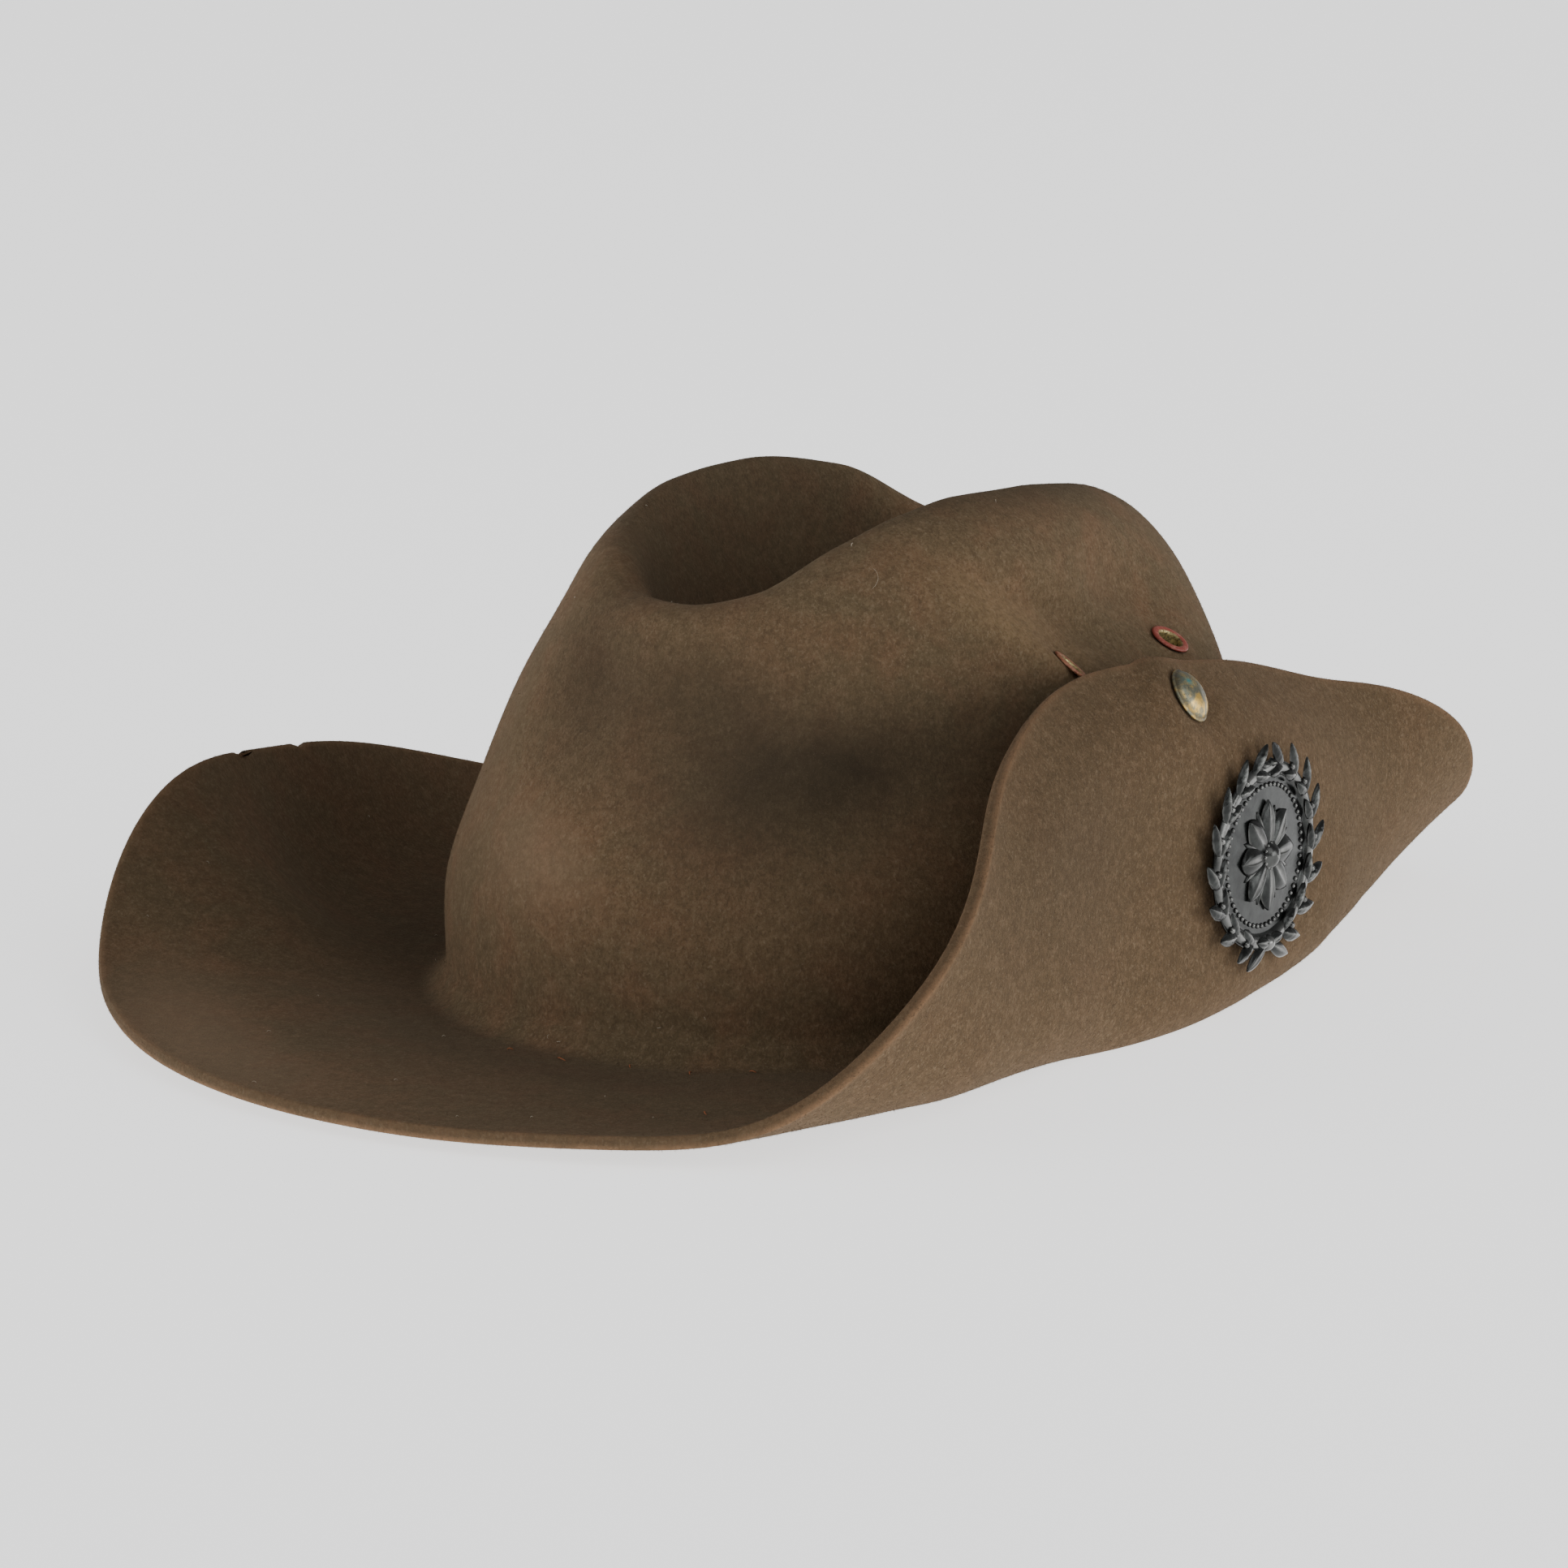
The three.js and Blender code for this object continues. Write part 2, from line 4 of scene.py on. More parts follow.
import bpy
import numpy as np
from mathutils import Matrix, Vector


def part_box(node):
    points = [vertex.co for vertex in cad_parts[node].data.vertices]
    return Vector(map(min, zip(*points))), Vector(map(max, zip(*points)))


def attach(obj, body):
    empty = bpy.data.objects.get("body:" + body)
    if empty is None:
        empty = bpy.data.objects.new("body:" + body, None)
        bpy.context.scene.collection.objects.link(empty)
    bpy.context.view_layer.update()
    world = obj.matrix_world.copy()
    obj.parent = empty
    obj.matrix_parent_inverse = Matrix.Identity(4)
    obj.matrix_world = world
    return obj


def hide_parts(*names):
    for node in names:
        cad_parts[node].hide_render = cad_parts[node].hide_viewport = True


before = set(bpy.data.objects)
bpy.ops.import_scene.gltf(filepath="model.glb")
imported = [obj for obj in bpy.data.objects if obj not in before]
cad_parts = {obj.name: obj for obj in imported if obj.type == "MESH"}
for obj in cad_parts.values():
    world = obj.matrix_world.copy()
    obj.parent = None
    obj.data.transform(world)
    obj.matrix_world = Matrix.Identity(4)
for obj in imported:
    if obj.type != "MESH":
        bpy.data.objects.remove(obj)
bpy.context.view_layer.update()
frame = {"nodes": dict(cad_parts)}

print("stage 1: frame loaded")

mm = 0.001


def degToRad(a):
    return np.radians(np.asarray(a, float))


# felt
felt = {
    "thickness": 2.8,
    "headHalfWidth": 86.0,
    "headHalfLength": 105.0,
    "creaseRadius": 5.0,
    "dentFloor": 65.0,
    "restDepth": -2.6,
    "tipStart": 38.0,
    "tipLength": 30.0,
    "turnSteps": 288,           # round the head
    "crownRows": 66,            # dent's middle to the foot of the crown
    "creaseRows": 7,
    "brimRows": 64,
    "unevenness": 0.35,         # mm, long soft waves in the sheet
    "evenSpan": 4,              # turn steps over which the brim's edge runs in smooth curves
    "nicks": [(-171.2, 1.3), (178.8, 1.1)],   # small nicks in the far edge: turn, depth in mm
    "roundEdge": [(0.12, 0.22), (0.5, 0.42), (0.88, 0.22)],  # across the cut edge: share, bulge in mm
}

# rings of the crown: height, reach to left, right, front, back, share of the ridge's drop
crownRings = [
    (5, 87, 86.5, 102.5, 105, 0),
    (25, 88, 86, 101.5, 105, 0),
    (46, 84.5, 78, 95.5, 102, 0),
    (67, 79.5, 69.5, 87, 98.5, 0.04),
    (89, 69.5, 57.5, 80.5, 93, 0.33),
    (105, 56.5, 49, 76, 86.5, 0.75),
    (112, 44, 42, 70, 78, 1),
]
# rings of the dent: share of the ridge's reach and height
dentRings = [(0.91, 0.9), (0.8, 0.55), (0.64, 0.18), (0.38, 0.02), (0.08, 0)]
# ridge drop by turn (0 left, 90 back, 180 right, -90 front)
ridgeDrops = [
    (-90, 19.5), (-70, 17), (-50, 7.5), (-35, 2), (-20, -0.5), (0, 0), (20, 3), (45, 9.3), (65, 17.5),
    (90, 26), (115, 20.5), (140, 7.4), (165, 3), (185, 3.8), (207, 8.2), (230, 12.5), (250, 19),
]
# soft hollows and bulges (depth below 0) in the crown: turn, z, depth, turn span, z span, slant
hollows = [
    (-80, 73, 3.6, 13, 13, 0),
    (-104, 74, 3.4, 11, 11, 0),
    (-52, 56, 4.6, 20, 17, 0),
    (-99, 37, -2.4, 15, 13, 0),
    (-2, 90, 4.6, 20, 12, 0),
    (8, 86, 5, 13, 9, 0),
    (-27, 85, -2.6, 5.5, 12, 2),      # pinched fold that runs down to the front eyelet
    (-13, 86, 5.6, 8, 11, 1.5),
]
# sections of the brim: turn, width, lift, fold start, fold length, bend, tip lean, toward
brimSections = [
    (-90, 74, 2.8, 24, 38, 1, 0, -90),
    (-68, 72.5, 2.4, 36, 46, 10, 0, -55),
    (-52, 76, 3.5, 19, 54, 72, -2, -46),
    (-38, 85, 2, 0, 47, 88, 21, -24),
    (-18, 87.8, 0, -11, 34, 91, 44, -14),
    (5, 84, 0, -7, 29, 91, 44, 0),
    (28, 79, 2, -4, 42, 100, 26, -2),
    (46, 80.5, 3, 11, 28, 74, 0, -2),
    (60, 72.5, 3, 21.5, 29, 45, 0, 5),
    (90, 74, 2, 20, 38, -1, 0, 90),
    (135, 70.5, 0, 28, 56, 25, 0, 143),
    (180, 86, 2, 25, 57, 70, 0, 172),
    (225, 76.5, 5, -17, 37, 5.5, 0, 217),
]


def smoothStep(x):
    x = np.clip(x, 0, 1)
    return x * x * x * (x * (6 * x - 15) + 10)


def wrapDeg(a):
    return (np.asarray(a, float) + 180) % 360 - 180


def turnOf(points):
    return np.degrees(np.arctan2(points[..., 1] / felt["headHalfLength"],
                                 points[..., 0] / felt["headHalfWidth"]))


def reachOf(points):
    # distance from the head's middle, 1 on the head oval
    return np.hypot(points[..., 0] / felt["headHalfWidth"], points[..., 1] / felt["headHalfLength"])


def facing(turn):
    a = degToRad(turn)
    return np.degrees(np.arctan2(np.sin(a) / felt["headHalfLength"], np.cos(a) / felt["headHalfWidth"]))


def throughTable(turns, values, x):
    # smooth closed curve through table rows, never overshooting them
    t = np.array(turns, float)
    v = np.array(values, float)
    knots = np.concatenate([t - 360, t, t + 360])
    vals = np.concatenate([v, v, v])
    gaps = np.diff(knots)
    slopes = np.diff(vals) / gaps
    tangents = np.zeros_like(vals)
    for i in range(1, len(knots) - 1):
        if slopes[i - 1] * slopes[i] > 0:
            a = 2 * gaps[i] + gaps[i - 1]
            b = gaps[i] + 2 * gaps[i - 1]
            tangents[i] = (a + b) / (a / slopes[i - 1] + b / slopes[i])
    x = np.mod(x - t[0], 360) + t[0]
    k = np.clip(np.searchsorted(knots, x, side="right") - 1, 0, len(knots) - 2)
    f = (x - knots[k]) / gaps[k]
    g = 1 - f
    return ((1 + 2 * f) * g * g * vals[k] + f * g * g * gaps[k] * tangents[k]
            + f * f * (3 - 2 * f) * vals[k + 1] - f * f * g * gaps[k] * tangents[k + 1])


def crownSheet(turns, ringAt):
    # outer surface of the crown: turns by positions counted in rings from the base
    c = np.cos(degToRad(turns))
    s = np.sin(degToRad(turns))
    drop = throughTable([r[0] for r in ridgeDrops], [r[1] for r in ridgeDrops], turns)
    knots = [np.stack([c * np.where(c > 0, left, right), s * np.where(s < 0, front, back),
                       z - share * drop], -1)
             for z, left, right, front, back, share in crownRings]
    ridge = knots[-1]
    for reach, height in dentRings:
        z = felt["dentFloor"] + (ridge[:, 2] - felt["dentFloor"]) * height
        knots.append(np.stack([ridge[:, 0] * reach, ridge[:, 1] * reach, z], -1))
    knots = np.stack(knots, 1)
    last = knots.shape[1] - 1
    x = np.clip(ringAt, 0, last)
    i = np.minimum(x.astype(int), last - 1)
    f = (x - i)[None, :, None]
    p, q, r, t = (knots[:, np.clip(i + d, 0, last)] for d in (-1, 0, 1, 2))
    points = 0.5 * (2 * q + (r - p) * f + (2 * p - 5 * q + 4 * r - t) * f ** 2
                    + (3 * q - p - 3 * r + t) * f ** 3)
    out = degToRad(facing(turns))
    outside = smoothStep((len(crownRings) - 1 - ringAt) / 0.3)[None]   # hollows fade out at the ridge
    height = points[..., 2].copy()
    for turn, z, depth, turnSpan, zSpan, slant in hollows:
        down = (height - z) / zSpan
        across = (wrapDeg(turns - turn) / turnSpan)[:, None] + slant * down
        push = depth * np.exp(-across ** 2 - down ** 2) * outside
        points[..., 0] -= push * np.cos(out)[:, None]
        points[..., 1] -= push * np.sin(out)[:, None]
    return points


def brimSheet(turns, rows, stepsPerRow=6):
    # upper surface of the brim from the crease to the edge
    at = [r[0] for r in brimSections]
    width, lift, foldAt, foldLength, bend, tip = (
        throughTable(at, [r[k] for r in brimSections], turns) for k in range(1, 7))
    swing = throughTable(at, wrapDeg(np.array([r[7] for r in brimSections]) - facing(at)), turns)
    out = degToRad(facing(turns))
    toward = out + degToRad(swing)
    along = np.cos(out - toward)
    across = np.sin(out - toward)
    radius = felt["creaseRadius"]
    point = np.stack([
        felt["headHalfWidth"] * np.cos(degToRad(turns)) + radius * np.cos(out),
        felt["headHalfLength"] * np.sin(degToRad(turns)) + radius * np.sin(out),
        0 * out], -1)
    line = [point.copy()]
    step = (width - radius) / (rows * stepsPerRow)
    for i in range(rows * stepsPerRow):
        s = (i + 0.5) * step
        rise = degToRad(lift + (bend - lift) * smoothStep((s - foldAt + radius) / foldLength)
                        + tip * smoothStep((s - width + felt["tipStart"]) / felt["tipLength"]))
        flat = along * np.cos(rise)
        way = np.stack([flat * np.cos(toward) - across * np.sin(toward),
                        flat * np.sin(toward) + across * np.cos(toward), along * np.sin(rise)], -1)
        point = point + way * step[:, None]
        if (i + 1) % stepsPerRow == 0:
            line.append(point.copy())
    return np.stack(line, 1)


def feltSheet(turns, crownRows, creaseRows, brimRows):
    # one sheet from the dent's middle to the brim's edge, with its normals
    crown = crownSheet(turns, np.linspace(len(crownRings) + len(dentRings) - 1, 0, crownRows))
    out = degToRad(facing(turns))
    radius = felt["creaseRadius"]
    crease = []
    for i in range(1, creaseRows):
        a = i / creaseRows * math.pi / 2
        reach = radius * (1 - math.cos(a))
        crease.append(np.stack([
            felt["headHalfWidth"] * np.cos(degToRad(turns)) + reach * np.cos(out),
            felt["headHalfLength"] * np.sin(degToRad(turns)) + reach * np.sin(out),
            0 * out + radius * (1 - math.sin(a))], -1))
    points = np.concatenate([crown, np.stack(crease, 1), brimSheet(turns, brimRows)], 1)
    return points, sheetNormals(points)


def sheetNormals(points):
    around = np.roll(points, -1, 0) - np.roll(points, 1, 0)
    outward = np.gradient(points, axis=1)
    normal = np.cross(outward, around)
    return normal / np.maximum(np.linalg.norm(normal, axis=-1, keepdims=True), 1e-9)


def softWaves(p):
    # long shallow unevenness of blocked felt, from a few crossing waves (mm in, share out)
    x, y, z = p[..., 0], p[..., 1], p[..., 2]
    return (np.sin(x / 11 + 1.7 * np.sin(z / 17)) * np.sin(y / 13 + 0.6) * 0.5
            + np.sin((x + y) / 23 + 2.1) * np.sin(z / 9 + y / 31) * 0.6
            + np.sin((x - y) / 7.3 + 0.4) * np.sin((z + y) / 6.1) * 0.18)


def buildFelt():
    turns = np.arange(felt["turnSteps"]) * 360 / felt["turnSteps"]
    points, normals = feltSheet(turns, felt["crownRows"], felt["creaseRows"], felt["brimRows"])
    fade = smoothStep(np.linalg.norm(points[..., :2] - points[:, :1, :2].mean(0), axis=-1) / 30)
    points = points + normals * (softWaves(points) * felt["unevenness"] * fade)[..., None]
    normals = sheetNormals(points)
    return turns, points, normals


# placing
fasteners = {   # turn; height on the crown or share of the brim's width; lean up; swing backwards
    "eyeletFront": (-19.2, 78.6, 22, 20),
    "eyeletRear": (11.4, 77, 16, 0),
    "stud": (-5.8, 0.875, -8, 9),
    "badge": (4.3, 0.447, 0, 0),
}
seats = (("eyeletFront", 0, 4.9), ("eyeletRear", 0, 4.9), ("stud", 1, 6.7))   # level in thicknesses, rim
holes = (("eyeletFront", 3.2, 0), ("eyeletRear", 3.2, 0), ("stud", 1.8, 0),     # radius, place along the turn
         ("badge", 1.15, -12), ("badge", 1.15, 12))
holeReach = (-4.2, 1.4)     # mm below and above the felt's face


def unit(v):
    v = np.asarray(v, float)
    return v / np.linalg.norm(v, axis=-1, keepdims=True)


def frameOf(origin, out, up, lean, swing):
    # axes as columns: along the turn, up the sheet, out of the felt
    z = unit(out)
    x = unit(np.cross(up, z))
    y = np.cross(z, x)
    a, b = math.radians(lean), math.radians(swing)
    y, z = y * math.cos(a) - z * math.sin(a), z * math.cos(a) + y * math.sin(a)
    x, z = x * math.cos(b) - z * math.sin(b), z * math.cos(b) + x * math.sin(b)
    return {"origin": np.asarray(origin, float), "axes": np.stack([x, y, z], 1)}


def crownPlace(turn, z, lean, swing):
    def at(t, ring):
        return crownSheet(np.array([float(t)]), np.array([ring]))[0, 0]
    low, high = 0.0, len(crownRings) - 1.0
    for _ in range(30):
        middle = (low + high) / 2
        low, high = (middle, high) if at(turn, middle)[2] < z else (low, middle)
    up = at(turn, low + 0.2) - at(turn, low - 0.2)
    return frameOf(at(turn, low), np.cross(at(turn + 2, low) - at(turn - 2, low), up), up, lean, swing)


def flapPlace(turn, share, lean, swing):
    line = brimSheet(np.array([turn - 3.0, turn, turn + 3.0]), 50)
    k = round(share * 50)
    out = unit(np.cross(line[2, k] - line[0, k], line[1, k + 3] - line[1, k - 3]))
    return frameOf(line[1, k] + out * felt["thickness"], out, np.array([0.0, 0, 1]), lean, swing)


def toFrame(frame, points):
    return (points - frame["origin"]) @ frame["axes"]


def fromFrame(frame, points):
    return np.asarray(points, float) @ frame["axes"].T + frame["origin"]


def pressSeat(points, frame, level, rim):
    # the felt lies flat under a clamped rim
    local = toFrame(frame, points)
    off = local[..., 2] - level
    free = smoothStep((np.hypot(np.hypot(local[..., 0], local[..., 1]), off) - rim - 0.4) / (rim * 1.1))
    local[..., 2] = level + off * free
    return fromFrame(frame, local)


def stepAt(turn):
    return int(round(turn % 360 / 360 * felt["turnSteps"])) % felt["turnSteps"]


places = {
    "eyeletFront": crownPlace(*fasteners["eyeletFront"]),
    "eyeletRear": crownPlace(*fasteners["eyeletRear"]),
    "stud": flapPlace(*fasteners["stud"]),
    "badge": flapPlace(*fasteners["badge"]),
}
turns, outer, normals = buildFelt()
brimStart = felt["crownRows"] + felt["creaseRows"] - 1
ringCount = len(crownRings) + len(dentRings) - 1
evenTurns = [(k, math.exp(-(k / felt["evenSpan"]) ** 2)) for k in range(-9, 10)]
evenTurns = [(k, w / sum(v for _, v in evenTurns)) for k, w in evenTurns]
evenShare = np.zeros(outer.shape[1])
evenShare[brimStart:] = smoothStep(np.linspace(-0.2, 1, outer.shape[1] - brimStart))
evenShare = evenShare[None, :, None]
outer = outer * (1 - evenShare) + sum(w * np.roll(outer, k, 0) for k, w in evenTurns) * evenShare
for name, level, rim in seats:
    rows = slice(brimStart, None) if level else slice(0, brimStart)   # the stud is on the flap
    outer[:, rows] = pressSeat(outer[:, rows], places[name], -level * felt["thickness"], rim)
for turn, depth in felt["nicks"]:
    i = stepAt(turn)
    outer[i, -1] += unit(outer[i, -3] - outer[i, -1]) * depth
normals = sheetNormals(outer)
inner = outer - normals * felt["thickness"]
inner[..., 2] = np.maximum(inner[..., 2], felt["restDepth"])

low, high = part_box("felt_body")
reach = np.concatenate([outer.reshape(-1, 3), inner.reshape(-1, 3)])
shift = np.array([(low.x + high.x) / 2 / mm - (reach[:, 0].min() + reach[:, 0].max()) / 2,
                  (low.y + high.y) / 2 / mm - (reach[:, 1].min() + reach[:, 1].max()) / 2,
                  -felt["restDepth"]])
print("stage 2: felt worked out, head centre at", shift.round(2).tolist(), "mm")


# meshes
def meshObject(name, points, faces, smooth=True):
    mesh = bpy.data.meshes.new(name)
    mesh.from_pydata((np.asarray(points, float) * mm).tolist(), [], [list(f) for f in faces])
    mesh.update()
    piece = bpy.data.objects.new(name, mesh)
    bpy.context.scene.collection.objects.link(piece)
    mesh.polygons.foreach_set("use_smooth", [smooth] * len(mesh.polygons))
    return piece


def triangleCloud(name, corners, facing):
    # many loose triangles at once: corners is an array of n by 3 by 3, in mm; each is
    # shaded as if it faced the way given, like a hair among its neighbours
    n = len(corners)
    mesh = bpy.data.meshes.new(name)
    mesh.vertices.add(3 * n)
    mesh.vertices.foreach_set("co", (corners.reshape(-1) * mm).astype(np.float32))
    mesh.loops.add(3 * n)
    mesh.loops.foreach_set("vertex_index", np.arange(3 * n, dtype=np.int32))
    mesh.polygons.add(n)
    mesh.polygons.foreach_set("loop_start", np.arange(0, 3 * n, 3, dtype=np.int32))
    mesh.polygons.foreach_set("use_smooth", [True] * n)
    mesh.update(calc_edges=True)
    mesh.normals_split_custom_set_from_vertices(np.repeat(facing, 3, axis=0).astype(np.float32))
    piece = bpy.data.objects.new(name, mesh)
    bpy.context.scene.collection.objects.link(piece)
    return piece


def setAttribute(piece, name, values):
    layer = piece.data.attributes.new(name, "FLOAT", "POINT")
    layer.data.foreach_set("value", np.asarray(values, np.float32))


def finishPiece(piece, material, slotName, *nodes):
    piece.data.materials.append(material)
    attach(piece, "root")
    if nodes:
        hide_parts(*nodes)


def gridFaces(rows, cols, start, closed=True, flip=False):
    i, j = np.meshgrid(np.arange(rows if closed else rows - 1), np.arange(cols - 1), indexing="ij")
    a = start + i * cols + j
    b = start + ((i + 1) % rows) * cols + j
    quads = np.stack([a, a + 1, b + 1, b], -1).reshape(-1, 4)
    return (quads[:, ::-1] if flip else quads).tolist()


def lathe(profile, steps):
    # closed solid turned round Z; ends on the axis close it, otherwise it is a ring
    profile = np.array(profile, float)
    angle = np.arange(steps) * 2 * math.pi / steps
    points = np.stack([np.outer(np.cos(angle), profile[:, 0]), np.outer(np.sin(angle), profile[:, 0]),
                       np.tile(profile[:, 1], (steps, 1))], -1)
    cols = len(profile)
    faces = gridFaces(steps, cols, 0, flip=True)
    if profile[0, 0] > 1e-6:
        for i in range(steps):
            n = (i + 1) % steps
            faces.append([i * cols + cols - 1, n * cols + cols - 1, n * cols, i * cols])
    return points.reshape(-1, 3), faces


def tubeAlong(path, radius, sides=6):
    # a thin round strand along a path, closed at both ends
    path = np.asarray(path, float)
    along = unit(np.gradient(path, axis=0))
    side = unit(np.cross(along, [0.31, 0.52, 0.79]))
    up = np.cross(along, side)
    angle = np.arange(sides) * 2 * math.pi / sides
    width = radius * np.interp(np.linspace(0, 1, len(path)), [0, 0.15, 0.85, 1], [0.5, 1, 1, 0.3])
    rings = (path[:, None] + width[:, None, None] * (np.cos(angle)[None, :, None] * side[:, None]
                                                    + np.sin(angle)[None, :, None] * up[:, None]))
    faces = []
    for i in range(len(path) - 1):
        for j in range(sides):
            k = (j + 1) % sides
            faces.append([i * sides + j, i * sides + k, (i + 1) * sides + k, (i + 1) * sides + j])
    last = (len(path) - 1) * sides
    faces.append(list(range(sides))[::-1])
    faces.append([last + j for j in range(sides)])
    return rings.reshape(-1, 3), faces


class Parts:
    # gathers several small solids into one piece
    def __init__(self):
        self.points, self.faces, self.marks, self.count = [], [], [], 0

    def add(self, points, faces, mark=None):
        points = np.asarray(points, float)
        self.points.append(points)
        self.faces += [[v + self.count for v in f] for f in faces]
        self.marks.append(np.zeros(len(points)) if mark is None else np.asarray(mark, float))
        self.count += len(points)

    def joined(self):
        return np.concatenate(self.points), self.faces, np.concatenate(self.marks)


def bump01(x):
    return np.exp(-np.asarray(x, float) ** 2)


# painted shade and light in the felt's colour: darker on the brim's upper face, the crease, the dent, the
# crown's hollows, the cut edge and the flap, lighter on a few bumps and patches; rubbedCrest is the worn crest
# of the fold
shadeLightAndWear = {
    "brim": 0.24,
    "crease": 0.06,
    "dent": 0.42,
    "edge": 0.30,
    "patches": [  # turn, height, slope, turn span, height span, amount (above 0 is painted shade, below 0 is painted light)
        (-50, 61, -0.32, 29, 14, 0.66),
        (-72, 58, 0, 22, 26, 0.38),
        (-84, 76, 0.1, 15, 10, 0.42),
        (-108, 76, 0.2, 13, 18, 0.55),
        (-35, 50, 0, 14, 22, -0.05),
        (-103, 40, 0.1, 16, 11, -0.28),
        (-150, 60, 0, 25, 50, -0.15),
    ],
    "brimPatches": [  # turn, reach in head widths, turn span, reach span, amount (above 0 is painted shade, below 0 is painted light)
        (-122, 1.66, 26, 0.24, -0.65),
        (-96, 1.16, 40, 0.10, 0.18),
    ],
    "flapPatches": [  # turn, height, turn span, height span, amount of painted shade on the lower face
        (-29, 47, 14, 21, 0.32),
    ],
    "rubbedCrest": (-26, 90, 7, 11, 1.6),     # turn, height, turn span, height span, slant
}


def makeFeltBody():
    steps, rows = outer.shape[:2]
    edgeOut = unit(outer[:, -1] - outer[:, -2])
    rim = []
    for share, bulge in felt["roundEdge"]:
        rim.append(outer[:, -1] * (1 - share) + inner[:, -1] * share + edgeOut * bulge)
    points = np.concatenate([outer.reshape(-1, 3), inner.reshape(-1, 3), np.stack(rim, 1).reshape(-1, 3),
                             outer[:, 0].mean(0)[None], inner[:, 0].mean(0)[None]])
    faces = gridFaces(steps, rows, 0)
    faces += gridFaces(steps, rows, steps * rows, flip=True)
    rimStart = 2 * steps * rows
    inside = len(felt["roundEdge"])
    faces += gridFaces(steps, inside, rimStart)
    top = rimStart + steps * inside
    for i in range(steps):
        n = (i + 1) % steps
        o, oNext = i * rows + rows - 1, n * rows + rows - 1
        u, uNext = steps * rows + o, steps * rows + oNext
        r, rNext = rimStart + i * inside, rimStart + n * inside
        faces.append([o, r, rNext, oNext])
        faces.append([r + inside - 1, u, uNext, rNext + inside - 1])
        faces.append([top, i * rows, n * rows])
        faces.append([top + 1, steps * rows + n * rows, steps * rows + i * rows])
    piece = meshObject("felt_shell", points + shift, faces)
    # painted measures for the material: rubbed edge, sun-faded fold, painted shade and light, lower face
    lineLength = np.cumsum(np.concatenate(
        [np.zeros((steps, 1)), np.linalg.norm(np.diff(outer, axis=1), axis=-1)], 1), 1)
    toEdge = lineLength[:, -1:] - lineLength
    nearEdge = np.exp(-(toEdge / 0.9) ** 2)
    half = nearEdge.size
    rimCount = steps * inside
    rimWear = np.tile(np.interp(np.arange(inside), [0, inside / 2, inside - 1], [0.3, 0.15, 1.0]), steps)
    setAttribute(piece, "wornEdge", np.concatenate([0.6 * nearEdge.ravel(), nearEdge.ravel(),
                                                    rimWear, [0, 0]]))
    setAttribute(piece, "fade", np.concatenate([fadePatch(outer).ravel(), np.zeros(half + rimCount + 2)]))
    setAttribute(piece, "paintedShading", np.concatenate([outerShadeAndLight(outer).ravel(), flapShade(inner).ravel(),
                                                  np.full(rimCount, shadeLightAndWear["edge"]), [0, 0]]))
    setAttribute(piece, "lowerFace", np.concatenate([np.zeros(half), np.ones(half),
                                                     np.full(rimCount, 0.5), [0, 1]]))
    return piece


def flapShade(points):
    # lower face: painted shade only on the turned-up flap, round the fasteners
    shade = 0 * points[..., 0]
    turn = turnOf(points)
    for spotTurn, spotZ, turnSpan, zSpan, amount in shadeLightAndWear["flapPatches"]:
        away = np.hypot(wrapDeg(turn - spotTurn) / turnSpan, (points[..., 2] - spotZ) / zSpan)
        shade = shade + amount * bump01(away)
    return shade


def outerShadeAndLight(points):
    # painted shade and light: darker felt in the dent, the hollows, the crease and on the brim's upper face,
    # lighter on bumps and a few patches
    turn, reach, z = turnOf(points), reachOf(points), points[..., 2]
    shade = 0 * z
    for spotTurn, spotZ, slope, turnSpan, zSpan, amount in shadeLightAndWear["patches"]:
        across = wrapDeg(turn - spotTurn) / turnSpan
        up = (z - spotZ) / zSpan + slope * across
        outside = smoothStep((reach - 0.55) / 0.12) * (reach < 1.06)
        shade = shade + amount * np.exp(-across ** 2 - up ** 2) * outside
    for spotTurn, spotReach, turnSpan, reachSpan, amount in shadeLightAndWear["brimPatches"]:
        across, out = wrapDeg(turn - spotTurn) / turnSpan, (reach - spotReach) / reachSpan
        shade = shade + amount * np.exp(-across ** 2 - out ** 2) * (reach > 1.02) * (z < 45)
    onBrim = smoothStep((reach - 0.99) / 0.08)
    near = smoothStep((1.75 - reach) / 0.75)
    shade = shade + onBrim * (shadeLightAndWear["brim"] + shadeLightAndWear["crease"] * near ** 2)
    inDent = smoothStep((0.66 - reach) / 0.14) * smoothStep((z - 40) / 10)
    return np.clip(shade + shadeLightAndWear["dent"] * inDent, -0.6, 0.9)


def fadePatch(points):
    # the ochre, rubbed crest of the fold above the front eyelet
    turn, z, turnSpan, zSpan, slant = shadeLightAndWear["rubbedCrest"]
    down = (points[..., 2] - z) / zSpan
    across = (turnOf(points) - turn) / turnSpan + slant * down
    onCrown = smoothStep((reachOf(points) - 0.5) / 0.12)
    return np.exp(-across ** 2 - down ** 2) * (points[..., 0] > 0) * onCrown


